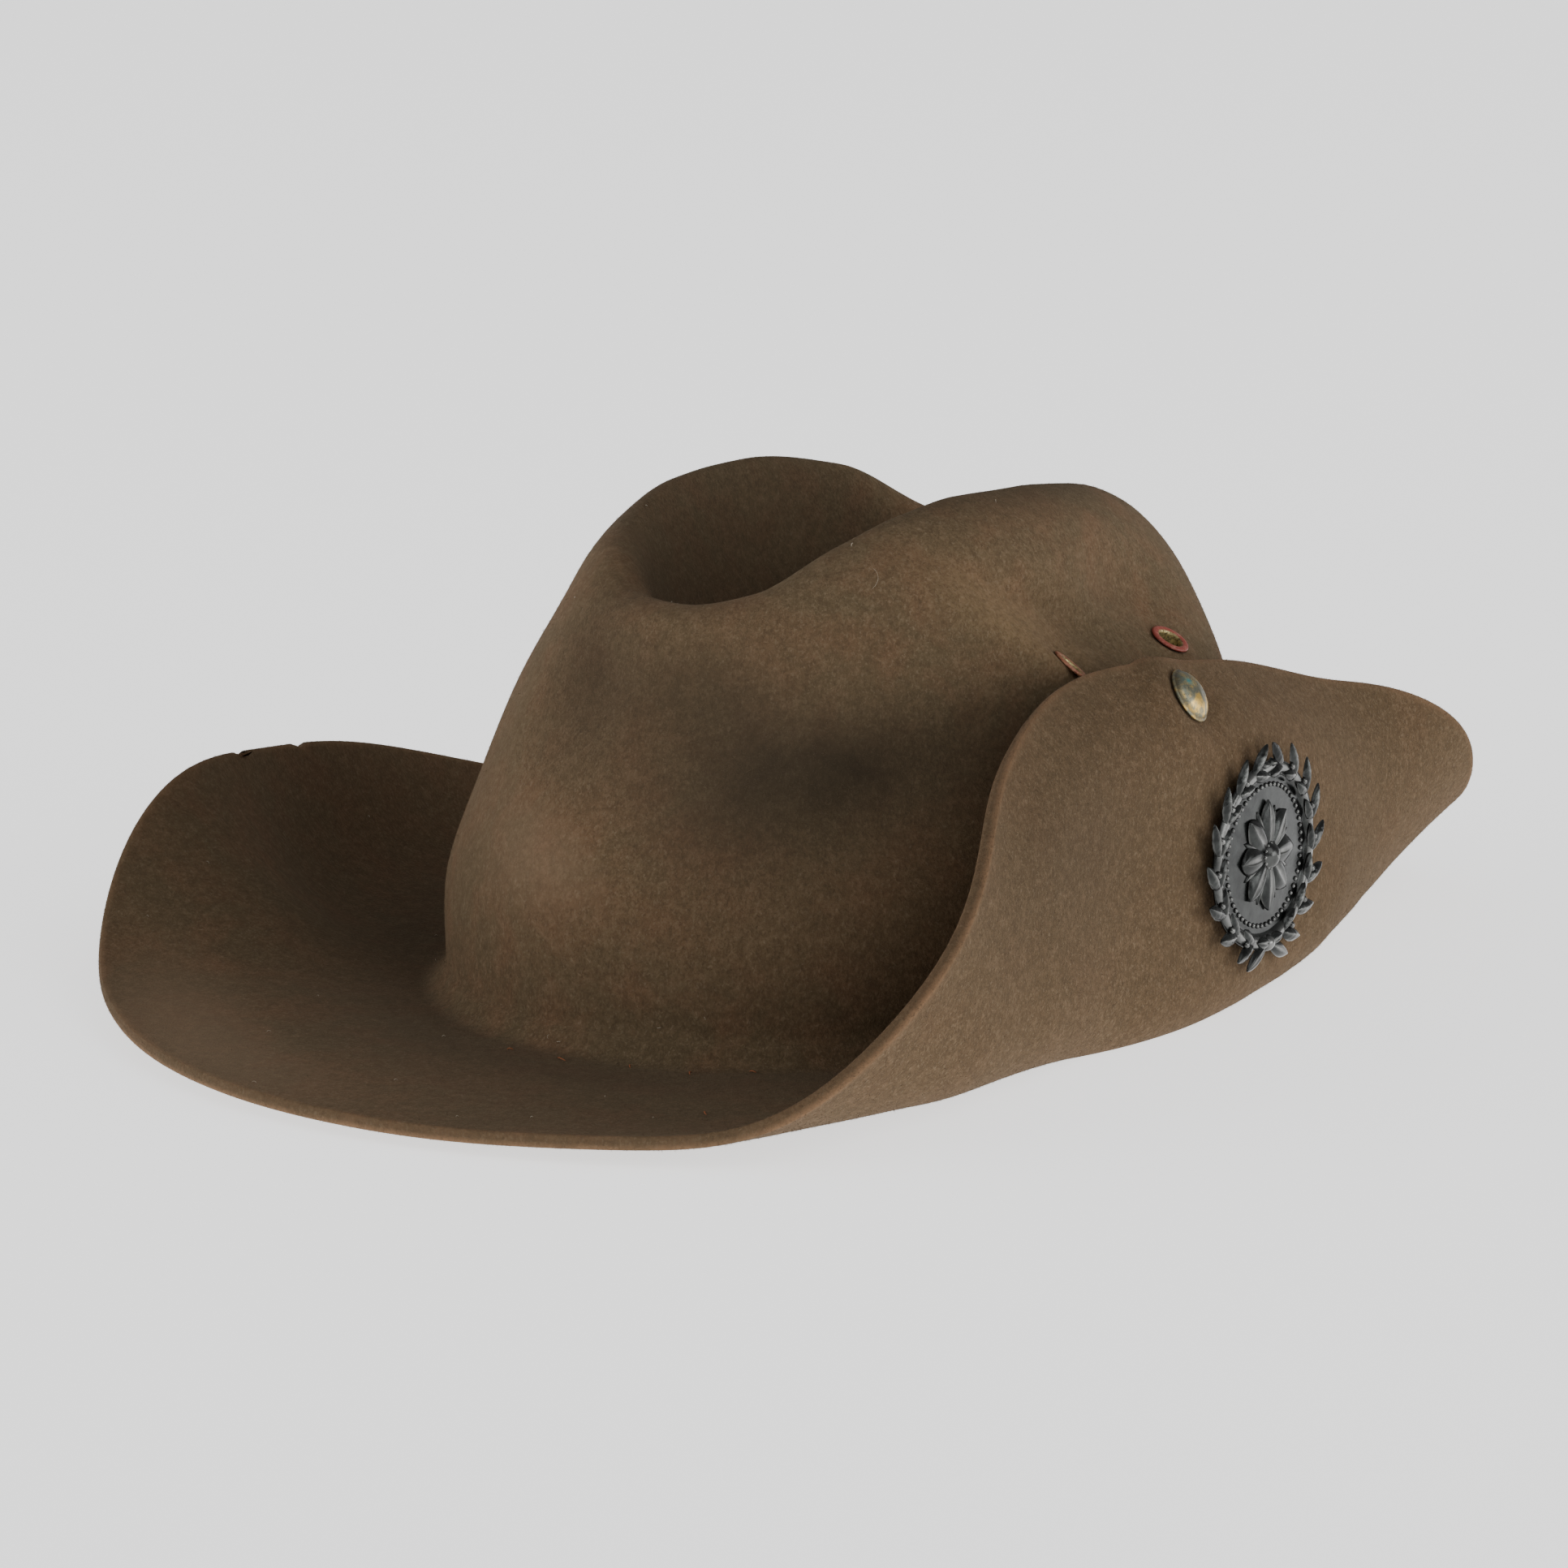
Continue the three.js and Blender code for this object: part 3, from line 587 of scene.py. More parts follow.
def cutHoles(piece):
    # clearance holes under the eyelets, the stud's shank and the badge's two lugs
    parts = Parts()
    steps = 24
    for name, radius, x in holes:
        ring = [(radius * math.cos(a) + x, radius * math.sin(a)) for a in np.arange(steps) * math.pi / 12]
        points = np.array([(px, py, z) for z in holeReach for px, py in ring])
        sides = [[i, (i + 1) % steps, (i + 1) % steps + steps, i + steps] for i in range(steps)]
        parts.add(fromFrame(places[name], points) + shift,
                  sides + [list(range(steps))[::-1], list(range(steps, 2 * steps))])
    points, faces, _ = parts.joined()
    cutter = meshObject("hole_cutter", points, faces)
    cut = piece.modifiers.new("holes", "BOOLEAN")
    cut.operation = "DIFFERENCE"
    cut.solver = "MANIFOLD"
    cut.object = cutter
    graph = bpy.context.evaluated_depsgraph_get()
    mesh = bpy.data.meshes.new_from_object(piece.evaluated_get(graph))
    mesh.materials.clear()
    mesh.polygons.foreach_set("material_index", [0] * len(mesh.polygons))
    piece.modifiers.clear()
    old = piece.data
    piece.data = mesh
    bpy.data.meshes.remove(old)
    bpy.data.objects.remove(cutter)


# node helpers for the materials
def newMaterial(name):
    material = bpy.data.materials.new(name)
    material.use_nodes = True
    nodes = material.node_tree.nodes
    nodes.clear()
    output = nodes.new("ShaderNodeOutputMaterial")
    shader = nodes.new("ShaderNodeBsdfPrincipled")
    material.node_tree.links.new(shader.outputs[0], output.inputs[0])
    return material, shader


def setInput(material, socket, value):
    if isinstance(value, bpy.types.NodeSocket):
        material.node_tree.links.new(value, socket)
    else:
        socket.default_value = value


def addNode(material, kind, settings=None, numbered=(), **inputs):
    node = material.node_tree.nodes.new(kind)
    for key, value in (settings or {}).items():
        setattr(node, key, value)
    for index, value in enumerate(numbered):
        setInput(material, node.inputs[index], value)
    for key, value in inputs.items():
        setInput(material, node.inputs[key], value)
    return node


def noise(material, where, scale, detail=3.0, roughness=0.55, distortion=0.0):
    return addNode(material, "ShaderNodeTexNoise", Vector=where, Scale=scale, Detail=detail,
                   Roughness=roughness, Distortion=distortion).outputs["Fac"]


def remap(material, value, low, high, toLow=0.0, toHigh=1.0):
    return addNode(material, "ShaderNodeMapRange", {"clamp": True},
                   (value, low, high, toLow, toHigh)).outputs[0]


def times(material, a, b):
    return mathNode(material, "MULTIPLY", a, b)


def mixColor(material, share, a, b, blend="MIX"):
    node = material.node_tree.nodes.new("ShaderNodeMix")
    node.data_type = "RGBA"
    node.blend_type = blend
    for index, value in ((0, share), (6, a), (7, b)):
        setInput(material, node.inputs[index], value)
    return node.outputs[2]


def mathNode(material, operation, a, b=0.0):
    return addNode(material, "ShaderNodeMath", {"operation": operation}, (a, b)).outputs[0]


def attributeFac(material, name):
    return addNode(material, "ShaderNodeAttribute", {"attribute_name": name}).outputs["Fac"]


def objectCoords(material, scale=(1, 1, 1)):
    where = addNode(material, "ShaderNodeTexCoord").outputs["Object"]
    if scale == (1, 1, 1):
        return where
    return addNode(material, "ShaderNodeMapping", Vector=where, Scale=scale).outputs[0]


def addBump(material, shader, height, strength, distance):
    node = addNode(material, "ShaderNodeBump", Strength=strength, Distance=distance, Height=height)
    material.node_tree.links.new(node.outputs[0], shader.inputs["Normal"])


def shade(material, shader, **inputs):
    for key, value in inputs.items():
        setInput(material, shader.inputs[key.replace("_", " ")], value)


# felt's colour and nap
feltLook = {
    "brown": (0.136, 0.091, 0.050, 1),
    "redBrown": (0.158, 0.091, 0.050, 1),
    "olive": (0.118, 0.085, 0.047, 1),
    "under": (0.097, 0.062, 0.032, 1),
    "dark": (0.070, 0.046, 0.027, 1),
    "pale": (0.30, 0.23, 0.155, 1),
    "ochre": (0.205, 0.135, 0.070, 1),
    # colour mixed in as painted shade
    "shadeLightAndWear": (0.040, 0.031, 0.020, 1),
    # paler felt: rubbed mottling, and painted light where the shading measure is below 0
    "rubbed": (0.30, 0.20, 0.125, 1),
    "cutEdge": (0.220, 0.130, 0.072, 1),
    "napTip": (0.26, 0.185, 0.115, 1),
    "sheen": 0.12,
    "sheenTint": (0.62, 0.47, 0.34, 1),
    "scales": {"broad": 14, "clouds": 70, "mottle": 420, "grain": 1500, "specks": 2700},   # per metre
    "redClouds": 0.85,          # how strongly each tone is mixed in, 0 to 1
    "mottleDark": 0.40,
    "mottleRubbed": 0.22,
    "grainDark": 0.50,
    "grainPale": 0.35,
    "specks": 0.40,
}


def feltColor(material, where):
    look, scales = feltLook, feltLook["scales"]
    broad = noise(material, where, scales["broad"], 2.0, 0.5, 0.6)
    clouds = noise(material, where, scales["clouds"], 4.0, 0.6, 0.4)
    mottle = noise(material, where, scales["mottle"], 5.0, 0.72, 0.2)
    grain = noise(material, objectCoords(material, (1, 1, 0.75)), scales["grain"], 3.0, 0.7, 0.6)
    specks = noise(material, where, scales["specks"], 1.0, 0.5, 0.0)
    paintedShading = attributeFac(material, "paintedShading")
    patchy = remap(material, clouds, 0.35, 0.65, 0.85, 1.15)
    color = look["olive"]
    for share, tone in (
            (remap(material, broad, 0.36, 0.64), "brown"),
            (remap(material, clouds, 0.43, 0.70, 0.0, look["redClouds"]), "redBrown"),
            (times(material, attributeFac(material, "lowerFace"), 0.75), "under"),
            (times(material, attributeFac(material, "fade"), 0.9), "ochre"),
            (remap(material, mottle, 0.52, 0.32, 0.0, look["mottleDark"]), "dark"),
            (remap(material, mottle, 0.50, 0.70, 0.0, look["mottleRubbed"]), "rubbed"),
            (remap(material, grain, 0.50, 0.34, 0.0, look["grainDark"]), "dark"),
            (remap(material, grain, 0.54, 0.72, 0.0, look["grainPale"]), "pale"),
            (remap(material, specks, 0.72, 0.80, 0.0, look["specks"]), "pale"),
            # painted shade where the shading measure is above 0, then painted light where it is below 0
            (times(material, remap(material, paintedShading, 0.0, 1.0), patchy), "shadeLightAndWear"),
            (remap(material, paintedShading, 0.0, -1.0), "rubbed")):
        color = mixColor(material, share, color, look[tone])
    return color, clouds, grain


def makeFeltMaterial():
    material, shader = newMaterial("brown_fur_felt")
    color, clouds, grain = feltColor(material, objectCoords(material))
    worn = times(material, attributeFac(material, "wornEdge"), remap(material, clouds, 0.3, 0.6, 0.35, 0.9))
    color = mixColor(material, worn, color, feltLook["cutEdge"])
    shade(material, shader, Base_Color=color, Roughness=0.95, Specular_IOR_Level=0.1,
          Sheen_Weight=feltLook["sheen"], Sheen_Roughness=0.5, Sheen_Tint=feltLook["sheenTint"])
    addBump(material, shader, grain, 0.6, 0.0005)
    return material


def makeNapMaterial():
    material, shader = newMaterial("felt_nap_fibre")
    color, _, _ = feltColor(material, objectCoords(material))
    color = mixColor(material, times(material, attributeFac(material, "tip"), 0.5), color, feltLook["napTip"])
    shade(material, shader, Base_Color=color, Roughness=0.9, Specular_IOR_Level=0.15)
    return material


nap = {
    "seed": 11,
    "length": (0.45, 1.0),     # mm
    "width": 0.08,
    "stray": 1.5,               # how widely fibres turn from the combed way, radians
    "lean": 0.9,                # how far a fibre lies over
    "crown": 150000,
    "brimTop": 100000,
    "brimUnder": 120000,
    "edge": 30000,
    "edgeLength": (0.4, 0.9),
    "edgeLean": 0.8,
    "flapTurn": 75,             # the lower face is thick with nap only this far to each side of the left
    "farUnder": 0.12,           # share of nap on the rest of it
    "strays": 0.05,             # share that stands up
    "longShare": 0.04,
    "longer": 1.7,
    "softness": 0.22,           # how far neighbouring fibres differ in shading
}


def scatter(rng, sheet, sheetNormal, rows, count, turnWeight=None):
    # places spread evenly by area over some rows of a sheet
    p = sheet[:, rows[0]:rows[1]]
    across = np.roll(p, -1, 0)[:, :-1] - p[:, :-1]
    down = p[:, 1:] - p[:, :-1]
    area = np.linalg.norm(np.cross(across, down), axis=-1)
    if turnWeight is not None:
        area = area * turnWeight[:, None]
    cell = rng.choice(area.size, count, p=(area / area.sum()).ravel())
    i, j = np.unravel_index(cell, area.shape)
    u, v = rng.random((2, count, 1))
    k = (i + 1) % len(p)
    n = sheetNormal[:, rows[0]:rows[1]]
    place = (p[i, j] * (1 - u) + p[k, j] * u) * (1 - v) + (p[i, j + 1] * (1 - u) + p[k, j + 1] * u) * v
    normal = unit((n[i, j] * (1 - u) + n[k, j] * u) * (1 - v) + (n[i, j + 1] * (1 - u) + n[k, j + 1] * u) * v)
    return place, normal, unit(down[i, j]), i, j + rows[0]


def combNap(rng, place, normal, down, length, width, lean):
    # one thin triangle for each fibre, lying over down the sheet and partly at random
    count = len(place)
    side = np.cross(normal, down)
    swing = rng.normal(0, nap["stray"], (count, 1))
    lay = unit(down * np.cos(swing) + side * np.sin(swing))
    rise = np.where(rng.random((count, 1)) < nap["strays"], rng.uniform(0.3, 0.8, (count, 1)),
                    rng.uniform(0.06, 0.34, (count, 1)))
    tip = place + (lay * lean * rng.uniform(0.5, 1.2, (count, 1)) + normal * rise) * length
    flat = unit(np.cross(lay, normal) + normal * rng.normal(0, 0.25, (count, 1))) * width / 2
    return np.stack([place - flat - normal * 0.03, place + flat - normal * 0.03, tip], 1)


def awayFromFasteners(place):
    # no nap under the rims, the stud or the badge
    keep = np.ones(len(place), bool)
    for name, rim in (("eyeletFront", 4.5), ("eyeletRear", 4.8), ("stud", 6.5)):
        local = toFrame(places[name], place)
        keep &= ~((np.hypot(local[:, 0], local[:, 1]) < rim) & (np.abs(local[:, 2]) < 5))
    local = toFrame(places["badge"], place)
    keep &= ~((np.hypot(local[:, 0] / 24, local[:, 1] / 21) < 1) & (np.abs(local[:, 2]) < 6))
    return keep


def finishNap(name, corners, normal, rng, material, fade, paintedShading, lower):
    corners[..., 2] = np.maximum(corners[..., 2], felt["restDepth"] + 0.02)
    piece = triangleCloud(name, corners + shift, unit(normal + rng.normal(0, nap["softness"], normal.shape)))
    count = len(corners)
    setAttribute(piece, "tip", np.tile([0, 0, 1], count))
    for key, value in (("fade", fade), ("paintedShading", paintedShading), ("lowerFace", lower)):
        setAttribute(piece, key, np.repeat(np.broadcast_to(value, count), 3))
    finishPiece(piece, material, "felt")


def makeNap(material):
    rng = np.random.default_rng(nap["seed"])
    last = outer.shape[1]

    def withMiddle(values):
        return np.concatenate([np.repeat(values[:, 0].mean(0)[None, None], len(turns), 0),
                               values[:, :brimStart + 1]], 1)

    flapShare = np.where(np.abs(wrapDeg(turns)) < nap["flapTurn"], 1.0, nap["farUnder"])
    for name, sheet, facingOut, rows, count, weight in (
            ("nap_crown", withMiddle(outer), withMiddle(normals), (0, brimStart + 2), nap["crown"], None),
            ("nap_brim_top", outer, normals, (brimStart, last), nap["brimTop"], None),
            ("nap_brim_under", inner, -normals, (brimStart, last), nap["brimUnder"], flapShare)):
        count = count
        place, normal, down, _, _ = scatter(rng, sheet, facingOut, rows, count, weight)
        keep = awayFromFasteners(place)
        place, normal, down = place[keep], normal[keep], down[keep]
        length = rng.uniform(*nap["length"], (len(place), 1))
        length = length * np.where(rng.random((len(place), 1)) < nap["longShare"], nap["longer"], 1)
        corners = combNap(rng, place, normal, down, length, nap["width"], nap["lean"])
        under = name == "nap_brim_under"
        # painted shade and light carried onto the nap
        paintedShading = flapShade(place) if under else outerShadeAndLight(place)
        finishNap(name, corners, normal, rng, material, fadePatch(place), paintedShading, float(under))


def makeEdgeNap(material):
    # short fuzz on the cut edge
    rng = np.random.default_rng(nap["seed"] + 1)
    out = unit(outer[:, -1] - outer[:, -2])
    middle = (outer[:, -1] + inner[:, -1]) / 2 + out * 0.42
    sheet = np.stack([outer[:, -1] + out * 0.1, middle, inner[:, -1] + out * 0.1], 1)
    facing = np.stack([unit(out + normals[:, -1]), out, unit(out - normals[:, -1])], 1)
    count = nap["edge"]
    place, normal, down, i, _ = scatter(rng, sheet, facing, (0, 3), count)
    along = unit(np.roll(outer[:, -1], -1, 0) - outer[:, -1])[i]
    length = rng.uniform(*nap["edgeLength"], (len(place), 1))
    corners = combNap(rng, place, normal, along, length, nap["width"], nap["edgeLean"])
    # the cut edge's painted shade carried onto its fuzz
    finishNap("nap_edge", corners, normal, rng, material, 0.0, shadeLightAndWear["edge"], 0.5)


feltMaterial = makeFeltMaterial()
feltBody = makeFeltBody()
cutHoles(feltBody)
finishPiece(feltBody, feltMaterial, "felt", "felt_body")
print("stage 3: felt shell made,", len(feltBody.data.polygons), "faces")
napMaterial = makeNapMaterial()
makeNap(napMaterial)
makeEdgeNap(napMaterial)
print("stage 4: nap combed")

# lint, a stray hair and loose thread ends
litter = {
    "seed": 5,
    "lint": 70,
    "lintLength": (0.45, 1.3),
    "lintRadius": (0.035, 0.07),
    "hairs": [(-49, 4.75, 150, 6.0)],     # turn, ring, heading, length in mm
    "hairRadius": 0.024,
    "threads": [  # turn, row past the crease, heading, length in mm
        (-94, 2, 70, 3.2), (-84, -1, 20, 1.6), (-75, 0, 5, 2.6), (-67.5, -1, 60, 1.8), (-70, 35, 10, 3.0),
        (-101, 4, 120, 1.4),
    ],
    "threadRadius": 0.13,
    "pale": ((0.55, 0.50, 0.42, 1), (0.36, 0.29, 0.2, 1)),
    "rust": ((0.36, 0.12, 0.05, 1), (0.26, 0.10, 0.05, 1)),
}


def makeLitter():
    rng = np.random.default_rng(litter["seed"])

    def dull(name, tones, scale):
        material, shader = newMaterial(name)
        tone = mixColor(material, noise(material, objectCoords(material), scale), *tones)
        shade(material, shader, Base_Color=tone, Roughness=0.8, Specular_IOR_Level=0.2)
        return material

    def strand(i, j, heading, length, radius, curl, lift):
        p, n = outer[i, j], normals[i, j]
        down = unit(outer[i, j + 1] - p)
        side = np.cross(n, down)
        s = np.linspace(0, 1, 12)[:, None]
        a = math.radians(heading) + curl * (s - 0.5)
        step = (down * np.cos(a) + side * np.sin(a)) * length / 11
        path = p + np.cumsum(step, 0) - step[0] + n * (radius * 0.6 + lift * np.sin(s * math.pi))
        return tubeAlong(path, radius)

    lint = Parts()
    for _ in range(litter["lint"]):
        i, j = int(rng.integers(len(turns))), int(rng.integers(22, outer.shape[1] - 4))
        length = rng.uniform(*litter["lintLength"])
        lint.add(*strand(i, j, rng.uniform(0, 360), length, rng.uniform(*litter["lintRadius"]),
                         rng.uniform(-2, 2), 0.25))
    for turn, ring, heading, length in litter["hairs"]:
        j = int(round((ringCount - ring) / ringCount * (felt["crownRows"] - 1)))
        lint.add(*strand(stepAt(turn), j, heading, length, litter["hairRadius"], 1.9, 0.6))
    threads = Parts()
    for turn, row, heading, length in litter["threads"]:
        threads.add(*strand(stepAt(turn), brimStart + row, heading, length, litter["threadRadius"], 0.9, 0.35))
    for name, parts, material in (("pale_lint", lint, dull("pale_lint", litter["pale"], 400)),
                                  ("thread_ends", threads, dull("rust_thread", litter["rust"], 900))):
        points, faces, _ = parts.joined()
        finishPiece(meshObject(name, points + shift, faces), material, "felt")


makeLitter()
print("stage 5: lint and thread ends laid")

# eyelets: worn red enamel round a brass barrel
eyelets = {
    "steps": 64,
    "profile": [  # radius, height: barrel inside the crown, bore, enamelled flange
        (2.7, -3.8), (3.2, -3.95), (3.9, -3.9), (4.15, -3.6), (4.1, -3.15), (3.0, -3.1), (3.0, 0.3),
        (4.35, 0.3), (4.58, 0.42), (4.6, 0.62), (4.45, 0.84), (4.1, 0.98), (3.65, 1.0), (3.25, 0.9),
        (2.95, 0.7), (2.75, 0.4), (2.7, 0.0), (2.7, -1.9),
    ],
    "enamelFrom": 3.0,
    "wear": {"eyeletFront": 0.7, "eyeletRear": 1.0},     # share of the enamel's strength left
    "sunk": {"eyeletFront": 0.25, "eyeletRear": 0.0},    # mm the flange is pressed into the nap
    "enamel": (0.30, 0.052, 0.035, 1),
    "enamelPale": (0.44, 0.18, 0.13, 1),
    "enamelDark": (0.12, 0.035, 0.025, 1),
    "brass": (0.50, 0.41, 0.19, 1),
    "brassDark": (0.12, 0.10, 0.045, 1),
}


def makeEyeletMaterial():
    material, shader = newMaterial("worn_red_enamel_on_brass")
    where = objectCoords(material)
    patches = noise(material, where, 700, 4.0, 0.65, 0.5)
    grime = noise(material, where, 1400, 3.0, 0.6, 0.0)
    brass = mixColor(material, remap(material, grime, 0.4, 0.62), eyelets["brass"], eyelets["brassDark"])
    enamel = mixColor(material, remap(material, patches, 0.50, 0.66, 0.0, 0.9), eyelets["enamel"],
                      eyelets["enamelPale"])
    enamel = mixColor(material, remap(material, grime, 0.55, 0.72, 0.0, 0.6), enamel, eyelets["enamelDark"])
    chips = remap(material, patches, 0.30, 0.36)
    coat = times(material, attributeFac(material, "enamelled"), chips)
    metal = mathNode(material, "SUBTRACT", 1.0, coat)
    shade(material, shader, Base_Color=mixColor(material, coat, brass, enamel),
          Roughness=remap(material, grime, 0.3, 0.7, 0.35, 0.6), Metallic=times(material, metal, 0.85))
    addBump(material, shader, patches, 0.35, 0.0002)
    return material


def makeEyelets(material):
    for key, node in (("eyeletFront", "eyelet_front"), ("eyeletRear", "eyelet_rear")):
        points, faces = lathe(eyelets["profile"], eyelets["steps"])
        r = np.hypot(points[:, 0], points[:, 1])
        coat = smoothStep((r - eyelets["enamelFrom"]) / 0.3) * (points[:, 2] > 0.25) * eyelets["wear"][key]
        angle = np.arctan2(points[:, 1], points[:, 0])
        points[:, :2] *= (1 + 0.012 * np.sin(3 * angle + 1))[:, None]     # slightly out of round
        points[:, 2] -= eyelets["sunk"][key]
        piece = meshObject(node + "_ring", fromFrame(places[key], points) + shift, faces)
        setAttribute(piece, "enamelled", coat)
        finishPiece(piece, material, "enamelled_brass", node)


makeEyelets(makeEyeletMaterial())
print("stage 6: eyelets set")

# stud: a domed cap of tarnished brass
stud = {
    "steps": 72,
    "profile": [
        (0, -3.9), (2.6, -3.9), (3.85, -3.82), (4.0, -3.6), (3.95, -3.2), (3.7, -3.1), (1.6, -3.1),
        (1.6, 0.3), (5.9, 0.3), (6.22, 0.4), (6.4, 0.66), (6.36, 0.95), (6.12, 1.16), (5.86, 1.2),
        (5.74, 1.34), (5.5, 1.75), (5.05, 2.2), (4.4, 2.65), (3.6, 3.05), (2.7, 3.35), (1.8, 3.56),
        (0.9, 3.67), (0, 3.7),
    ],
    "domeFrom": 1.3,
    "dents": [(1.6, -1.2, 1.5, 0.22), (-2.4, -0.6, 1.1, 0.12)],     # x, y, size, depth
    "brass": (0.40, 0.33, 0.18, 1),
    "gold": (0.74, 0.49, 0.13, 1),
    "grey": (0.20, 0.21, 0.16, 1),
    "brown": (0.085, 0.062, 0.032, 1),
    "verdigris": (0.02, 0.22, 0.23, 1),
    "verdigrisAt": (-2.2, 2.6),
}


def makeStud():
    points, faces = lathe(stud["profile"], stud["steps"])
    dome = points[:, 2] > stud["domeFrom"]
    points[:, 2] -= sum(depth * bump01(np.hypot(points[:, 0] - x, points[:, 1] - y) / size)
                        for x, y, size, depth in stud["dents"]) * dome
    rimLine = bump01((np.hypot(points[:, 0], points[:, 1]) - 5.9) / 0.35)
    spotX, spotY = stud["verdigrisAt"]
    spot = bump01(np.hypot(points[:, 0] - spotX, points[:, 1] - spotY) / 0.9) * dome
    material, shader = newMaterial("tarnished_brass")
    where = objectCoords(material)
    cloud = noise(material, where, 330, 4.0, 0.6, 1.0)
    fine = noise(material, where, 1900, 4.0, 0.65, 0.3)
    color = mixColor(material, remap(material, cloud, 0.40, 0.58), stud["grey"], stud["brass"])
    color = mixColor(material, remap(material, cloud, 0.50, 0.62, 0.0, 0.9), color, stud["gold"])
    color = mixColor(material, remap(material, fine, 0.54, 0.70, 0.0, 0.7), color, stud["brown"])
    color = mixColor(material, times(material, attributeFac(material, "rimLine"), 0.75), color, stud["brown"])
    green = times(material, attributeFac(material, "verdigris"), remap(material, fine, 0.3, 0.5, 0.4, 1.0))
    color = mixColor(material, green, color, stud["verdigris"])
    metal = mathNode(material, "SUBTRACT", 0.92, times(material, green, 0.8))
    shade(material, shader, Base_Color=color, Metallic=metal,
          Roughness=remap(material, fine, 0.3, 0.7, 0.26, 0.5))
    addBump(material, shader, fine, 0.25, 0.0002)
    piece = meshObject("stud_cap", fromFrame(places["stud"], points) + shift, faces)
    setAttribute(piece, "verdigris", spot)
    setAttribute(piece, "rimLine", rimLine)
    finishPiece(piece, material, "brass", "brim_stud")


makeStud()
print("stage 7: stud set")

# badge: laurel wreath tied round a rosette, blackened metal
badge = {
    "halfWidth": 23.0,
    "halfHeight": 19.8,
    "plate": 1.1,
    "leaf": 7.0,
    "leaves": 8,
    "leafFrom": -72,            # first leaf's place round the oval; the last is as far the other way
    "leafPairs": [  # added length, width, height, swing and tilt in radians
        (1.6, 3.5, 1.1, -0.55, 0.07), (0, 3.1, 1.0, 0.42, 0.1),
    ],
    "petals": 8,
    "rosette": 12.5,
    "lugSpread": 12.0,
    "bendAcross": 480.0,
    "gap": 0.5,
    "beads": 56,
    "beadReach": 0.79,
    "stamens": [(12, 2.7, 0.62, 2.4), (7, 1.45, 0.6, 3.3), (1, 0, 0.9, 3.7)],   # count, ring, size, height
    "black": (0.014, 0.015, 0.0145, 1),
    "grey": (0.036, 0.039, 0.037, 1),
    "rubbed": (0.24, 0.24, 0.23, 1),
    "grime": (0.012, 0.012, 0.013, 1),
}


def bladeSolid(length, width, height, sunk=False, veins=0, steps=(18, 10), pinch=0.9):
    # a leaf or petal along X from its root, with a raised or sunk midrib and veins
    nu, nv = steps
    u = np.linspace(0, 1, nu)[:, None]
    v = np.linspace(-1, 1, nv + 1)[None, :]
    swell = np.sin(math.pi * u)
    half = width / 2 * np.sin(math.pi * np.clip(u, 0.001, 1) ** pinch) ** 0.75
    x = u * length + 0 * v
    y = half * v
    lift = height * np.sin(math.pi * np.clip(u * 0.94 + 0.03, 0, 1)) ** 0.6 * (1 - np.abs(v) ** 2.2)
    lift = lift + 0.22 * height * np.exp(-(v / 0.16) ** 2) * swell * (-1.4 if sunk else 1)
    if veins:
        ripple = np.sin((u * veins + np.abs(v) * 0.9) * 2 * math.pi)
        lift = lift + 0.07 * height * ripple * swell * (np.abs(v) > 0.1)
    top = np.stack([x, y, lift], -1).reshape(-1, 3)
    bottom = np.stack([x, y, 0 * x - 0.05], -1).reshape(-1, 3)
    cols = nv + 1
    count = nu * cols
    faces = gridFaces(nu, cols, 0, closed=False, flip=True) + gridFaces(nu, cols, count, closed=False)
    border = list(range(cols)) + [i * cols + nv for i in range(1, nu)]
    border += [(nu - 1) * cols + j for j in range(nv - 1, -1, -1)] + [i * cols for i in range(nu - 2, 0, -1)]
    for a, b in zip(border, border[1:] + border[:1]):
        faces.append([a, b, b + count, a + count])
    rub = np.exp(-(v / 0.2) ** 2) * swell + 0.35 * (np.abs(v) > 0.9)
    return np.concatenate([top, bottom]), faces, np.concatenate([rub.reshape(-1), np.zeros(count)])


def placed(points, x, y, z, turn=0.0, tilt=0.0):
    c, s = math.cos(tilt), math.sin(tilt)
    p = np.stack([points[:, 0] * c - points[:, 2] * s, points[:, 1], points[:, 0] * s + points[:, 2] * c], -1)
    c, s = math.cos(turn), math.sin(turn)
    return np.stack([p[:, 0] * c - p[:, 1] * s + x, p[:, 0] * s + p[:, 1] * c + y, p[:, 2] + z], -1)


def addBlade(parts, blade, x, y, z, turn=0.0, tilt=0.0):
    points, faces, mark = blade
    parts.add(placed(points, x, y, z, turn, tilt), faces, mark)


def addDome(parts, radius, height, at, steps, rings, rubSpan, squash=1.0):
    a = np.linspace(0, math.pi / 2, rings + 1)
    arc = [(radius * math.cos(t), height * math.sin(t)) for t in a[:-1]]
    points, faces = lathe([(0, -0.1)] + arc + [(0, height)], steps)
    mark = bump01((points[:, 2] - height) / rubSpan) if rubSpan else 0.2 + 0 * points[:, 0]
    parts.add(points * [1, squash, 1] + at, faces, mark)


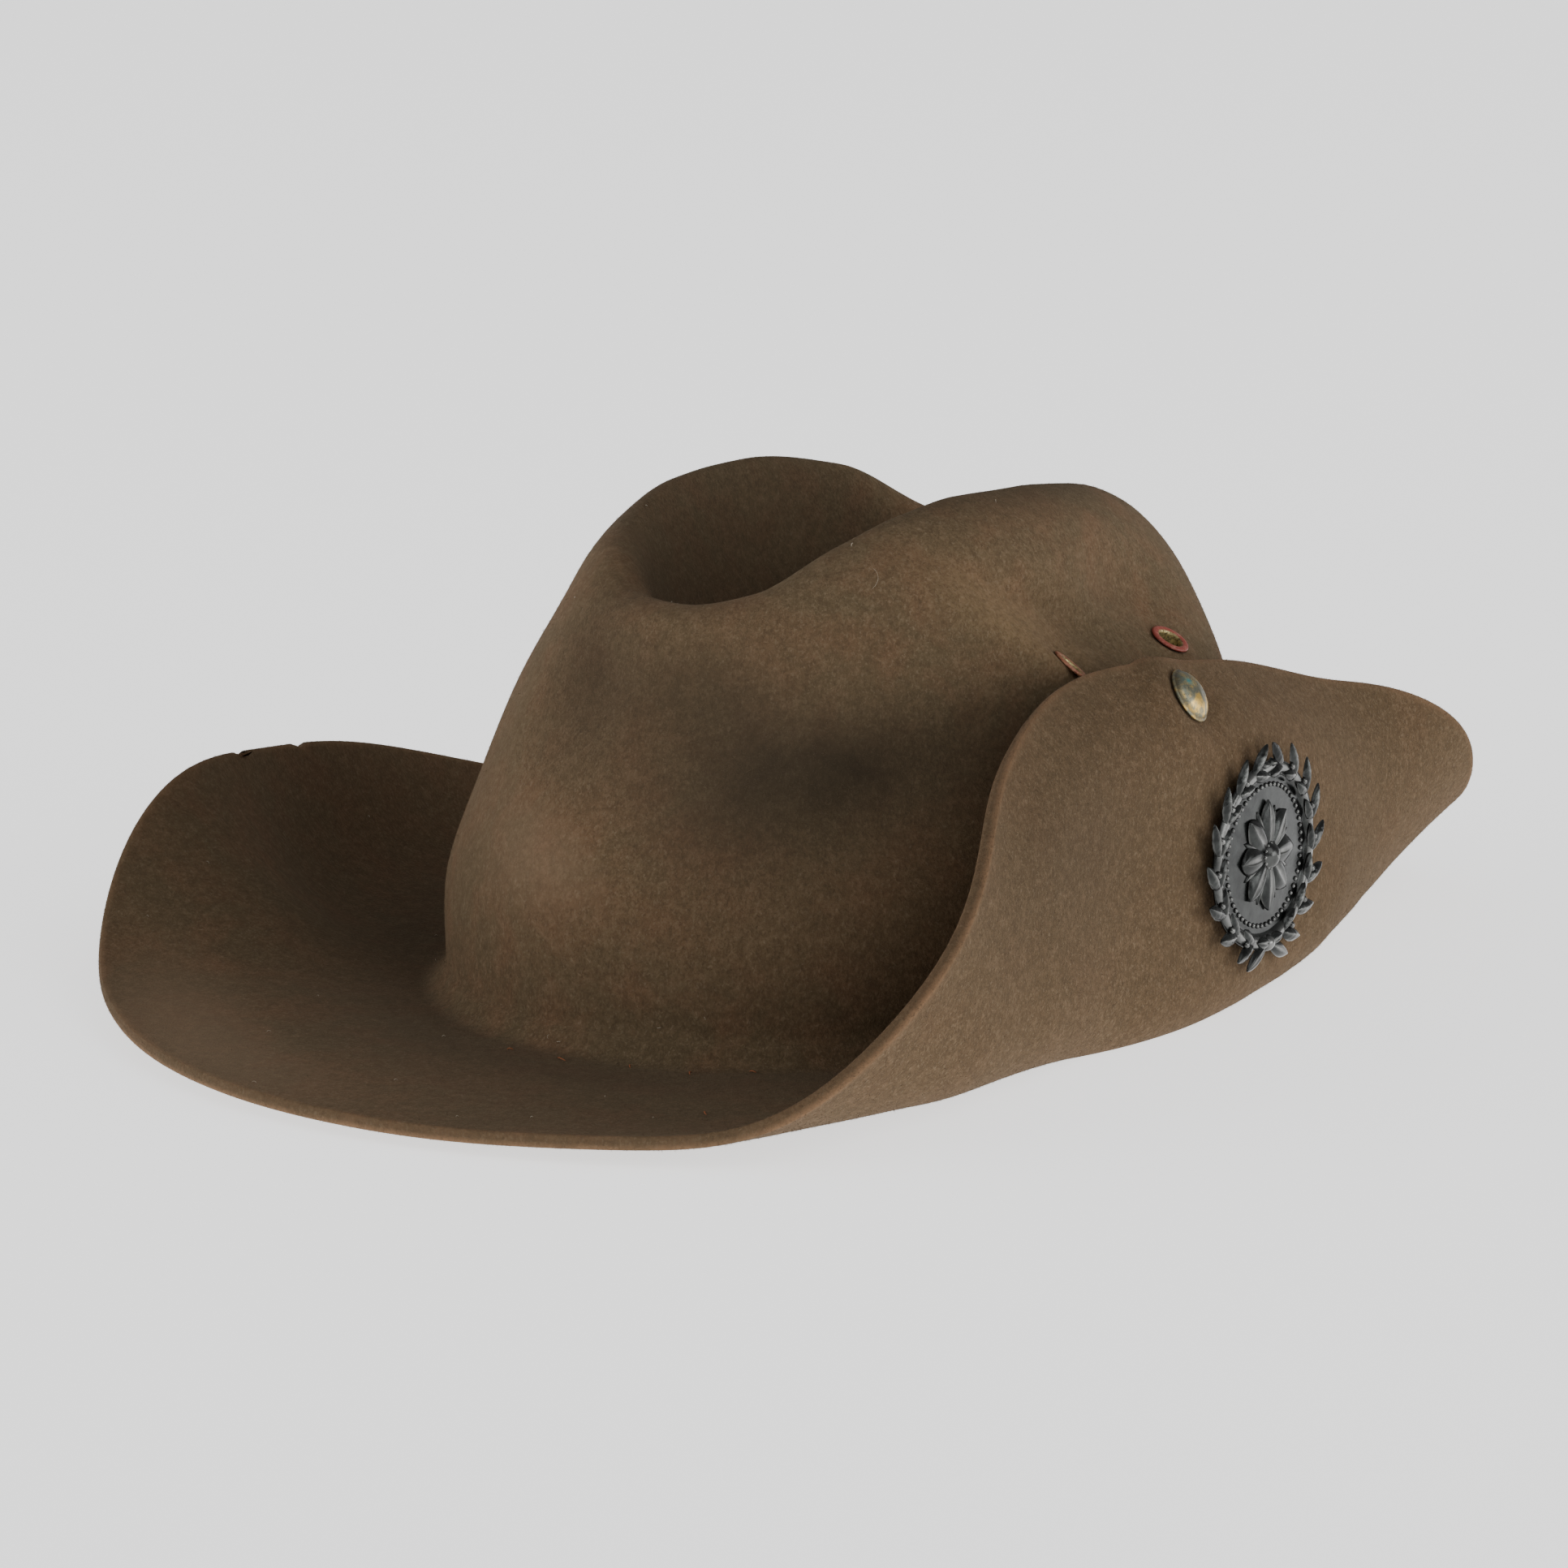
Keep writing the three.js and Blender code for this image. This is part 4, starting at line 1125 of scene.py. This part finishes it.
def addPlate(parts):
    # plate with a rolled rim, gently domed, and a fine line of beads just inside the rim
    edge = [(0, 0), (0.97, 0), (1.0, 0.25), (1.05, 1.0)]
    rim = [(0.98 + 0.085 * math.cos(t), 1.1 + 1.15 * math.sin(t)) for t in np.linspace(0, math.pi, 9)]
    inside = [(0.86, 1.12), (0.8, 1.15), (0.6, 1.26), (0.4, 1.34), (0.2, 1.39), (0, 1.4)]
    points, faces = lathe(edge + rim + inside, 96)
    mark = bump01((np.hypot(points[:, 0], points[:, 1]) - 0.98) / 0.05) * (points[:, 2] > 1.4)
    parts.add(points * [badge["halfWidth"], badge["halfHeight"], 1], faces, mark)
    for i in range(badge["beads"]):
        a = 2 * math.pi * i / badge["beads"]
        at = [badge["halfWidth"] * badge["beadReach"] * math.cos(a),
              badge["halfHeight"] * badge["beadReach"] * math.sin(a), 1.08]
        addDome(parts, 0.62, 0.62, at, 10, 4, 0.25)


def addWreath(parts, side):
    # pairs of leaves climbing one side, with a berry between them
    b = badge
    step = -2 * b["leafFrom"] / (b["leaves"] - 1)
    for i in range(b["leaves"]):
        a = math.radians(b["leafFrom"] + step * i)
        x, y = side * b["halfWidth"] * math.cos(a), b["halfHeight"] * math.sin(a)
        rise = math.atan2(b["halfHeight"] * math.cos(a), -side * b["halfWidth"] * math.sin(a))
        for longer, width, height, swing, tilt in b["leafPairs"]:
            addBlade(parts, bladeSolid(b["leaf"] + longer, width, height, veins=5),
                     x, y, b["plate"] + 0.5, rise + side * swing, tilt)
        if i < b["leaves"] - 1:
            a = math.radians(b["leafFrom"] + step * (i + 0.5))
            at = [side * (b["halfWidth"] + 0.6) * math.cos(a), (b["halfHeight"] + 0.6) * math.sin(a),
                  b["plate"] + 0.9]
            addDome(parts, 0.95, 1.0, at, 12, 4, 0.4)


def addRibbon(parts, side):
    # a tail and a small loop beside the knot, and the wreath's last leaf at the top
    foot, plate, quarter = -badge["halfHeight"], badge["plate"], math.pi / 2
    addBlade(parts, bladeSolid(11, 3.6, 1.1, sunk=True, steps=(22, 10), pinch=1.2),
             0, foot, plate + 0.35, quarter + side * (quarter + 0.42), 0.02)
    addBlade(parts, bladeSolid(6.2, 3.0, 1.4, sunk=True, steps=(16, 10)),
             0, foot, plate + 0.7, quarter - side * (quarter - 0.18), 0.05)
    addBlade(parts, bladeSolid(2.8, 2.4, 1.2), side * 1.9 - 1.3, 0.6 - foot, plate + 0.4)


def addRosette(parts):
    # wide petals over narrow sepals round a beaded middle
    b = badge
    for i in range(b["petals"]):
        a = 2 * math.pi * i / b["petals"]
        addBlade(parts, bladeSolid(b["rosette"] - 1.2, 3.4, 0.8, steps=(16, 8), pinch=0.8),
                 0, 0, b["plate"] + 0.2, a + math.pi / b["petals"])
        addBlade(parts, bladeSolid(b["rosette"], 7.0, 1.5, sunk=True, steps=(22, 14), pinch=1.25),
                 0, 0, b["plate"] + 0.35, a, 0.02)
    for count, ring, size, height in b["stamens"]:
        for i in range(count):
            a = 2 * math.pi * (i + 0.5 * (count == 7)) / count
            at = [ring * math.cos(a), ring * math.sin(a), b["plate"] - 1.1 + height]
            addDome(parts, size, size, at, 10, 4, 0.3)
    addDome(parts, 3.3, 3.1, [0, 0, b["plate"] + 0.3], 28, 6, 0)


def makeBadgeMaterial():
    material, shader = newMaterial("blackened_metal")
    where = objectCoords(material)
    cloud = noise(material, where, 260, 3.0, 0.6, 0.5)
    fine = noise(material, where, 2200, 4.0, 0.6, 0.0)
    color = mixColor(material, remap(material, cloud, 0.38, 0.66), badge["black"], badge["grey"])
    rub = times(material, attributeFac(material, "rub"), remap(material, cloud, 0.3, 0.6, 0.25, 0.85))
    color = mixColor(material, rub, color, badge["rubbed"])
    color = mixColor(material, remap(material, fine, 0.58, 0.72, 0.0, 0.25), color, badge["grime"])
    shade(material, shader, Base_Color=color, Metallic=0.8, Specular_IOR_Level=0.6,
          Roughness=remap(material, fine, 0.3, 0.7, 0.16, 0.26))
    addBump(material, shader, fine, 0.12, 0.0002)
    return material


def makeBadge():
    parts = Parts()
    addPlate(parts)
    for side in (-1, 1):
        addWreath(parts, side)
        addRibbon(parts, side)
        points, faces = lathe([(0, -4), (0.9, -4), (0.9, 0.5), (0, 0.5)], 16)     # lug through the felt
        parts.add(points + [side * badge["lugSpread"], 0, 0], faces)
    addRosette(parts)
    addDome(parts, 2.3, 2.3, [0, -badge["halfHeight"], badge["plate"]], 18, 5, 0.9, 0.85)     # ribbon's knot
    points, faces, mark = parts.joined()
    points[:, 2] += badge["gap"] - points[:, 0] ** 2 / (2 * badge["bendAcross"])
    piece = meshObject("wreath_badge", fromFrame(places["badge"], points) + shift, faces)
    setAttribute(piece, "rub", np.clip(mark, 0, 1))
    finishPiece(piece, makeBadgeMaterial(), "blackened_metal", "badge")


makeBadge()
print("stage 8: badge set")

# floor, light and camera
studio = {
    "floorSize": 40.0,
    "floorColor": (0.86, 0.86, 0.86, 1),
    "floorShade": (0.80, 0.80, 0.80, 1),
    "floorGlow": 1.25,          # a softly lit white table
    "horizon": 0.30,
    "zenith": 0.30,
    "lights": [  # name, azimuth from the head, height angle, distance, width and height in m, watts
        ("softbox_left", -42, 11, 8.0, 5.9, 2.7, 252),
        ("softbox_right", 104, 11, 8.0, 5.9, 2.7, 208),
        ("softbox_high", 75, 40, 3.2, 2.13, 2.13, 22),
    ],
}
view = {
    "azimuth": 30.5,
    "elevation": 13.5,
    "distance": 1.3,            # m from the head's middle
    "pxPerMetre": 5390,
    "centre": (1047, 1179),     # where the head's middle lies in the picture, px
    "image": 1932,
    "sensor": 36.0,
    "near": 0.05,
}


def wayTo(azimuth, elevation):
    a, e = math.radians(azimuth), math.radians(elevation)
    return Vector((math.sin(a) * math.cos(e), -math.cos(a) * math.cos(e), math.sin(e)))


def makeStudio():
    half = studio["floorSize"] / 2 / mm
    floor = meshObject("floor", [(-half, -half, 0), (half, -half, 0), (half, half, 0), (-half, half, 0)],
                       [[0, 1, 2, 3]], smooth=False)
    material, shader = newMaterial("pale_floor")
    tone = mixColor(material, remap(material, noise(material, objectCoords(material), 3), 0.4, 0.6, 0.0, 0.03),
                    studio["floorColor"], studio["floorShade"])
    shade(material, shader, Base_Color=tone, Roughness=0.9, Emission_Color=(1, 1, 1, 1),
          Emission_Strength=studio["floorGlow"])
    floor.data.materials.append(material)
    world = bpy.data.worlds.new("soft_studio")
    bpy.context.scene.world = world
    world.use_nodes = True
    way = addNode(world, "ShaderNodeTexCoord").outputs["Generated"]
    height = addNode(world, "ShaderNodeSeparateXYZ", None, (way,)).outputs[2]
    background = world.node_tree.nodes["Background"]
    background.inputs["Color"].default_value = (1, 1, 1, 1)
    glow = remap(world, height, 0.0, 0.7, studio["horizon"], studio["zenith"])
    world.node_tree.links.new(glow, background.inputs["Strength"])
    centre = Vector(shift * mm)
    for name, azimuth, elevation, distance, width, tall, watts in studio["lights"]:
        data = bpy.data.lights.new(name, "AREA")
        data.shape = "RECTANGLE"
        data.size = width
        data.size_y = tall
        data.energy = watts
        lamp = bpy.data.objects.new(name, data)
        lamp.location = centre + wayTo(azimuth, elevation) * distance
        lamp.rotation_euler = (centre - lamp.location).to_track_quat("-Z", "Y").to_euler()
        bpy.context.scene.collection.objects.link(lamp)


def makeCamera():
    away = wayTo(view["azimuth"], view["elevation"])
    data = bpy.data.cameras.new("photo_camera")
    data.sensor_width = view["sensor"]
    data.lens = view["sensor"] * view["distance"] * view["pxPerMetre"] / view["image"]
    data.shift_x = -(view["centre"][0] - view["image"] / 2) / view["image"]
    data.shift_y = (view["centre"][1] - view["image"] / 2) / view["image"]
    data.clip_start = view["near"]
    camera = bpy.data.objects.new("photo_camera", data)
    camera.location = Vector(shift * mm) + away * view["distance"]
    camera.rotation_euler = (-away).to_track_quat("-Z", "Y").to_euler()
    bpy.context.scene.collection.objects.link(camera)
    bpy.context.scene.camera = camera


makeStudio()
makeCamera()
print("stage 9: studio and camera set")
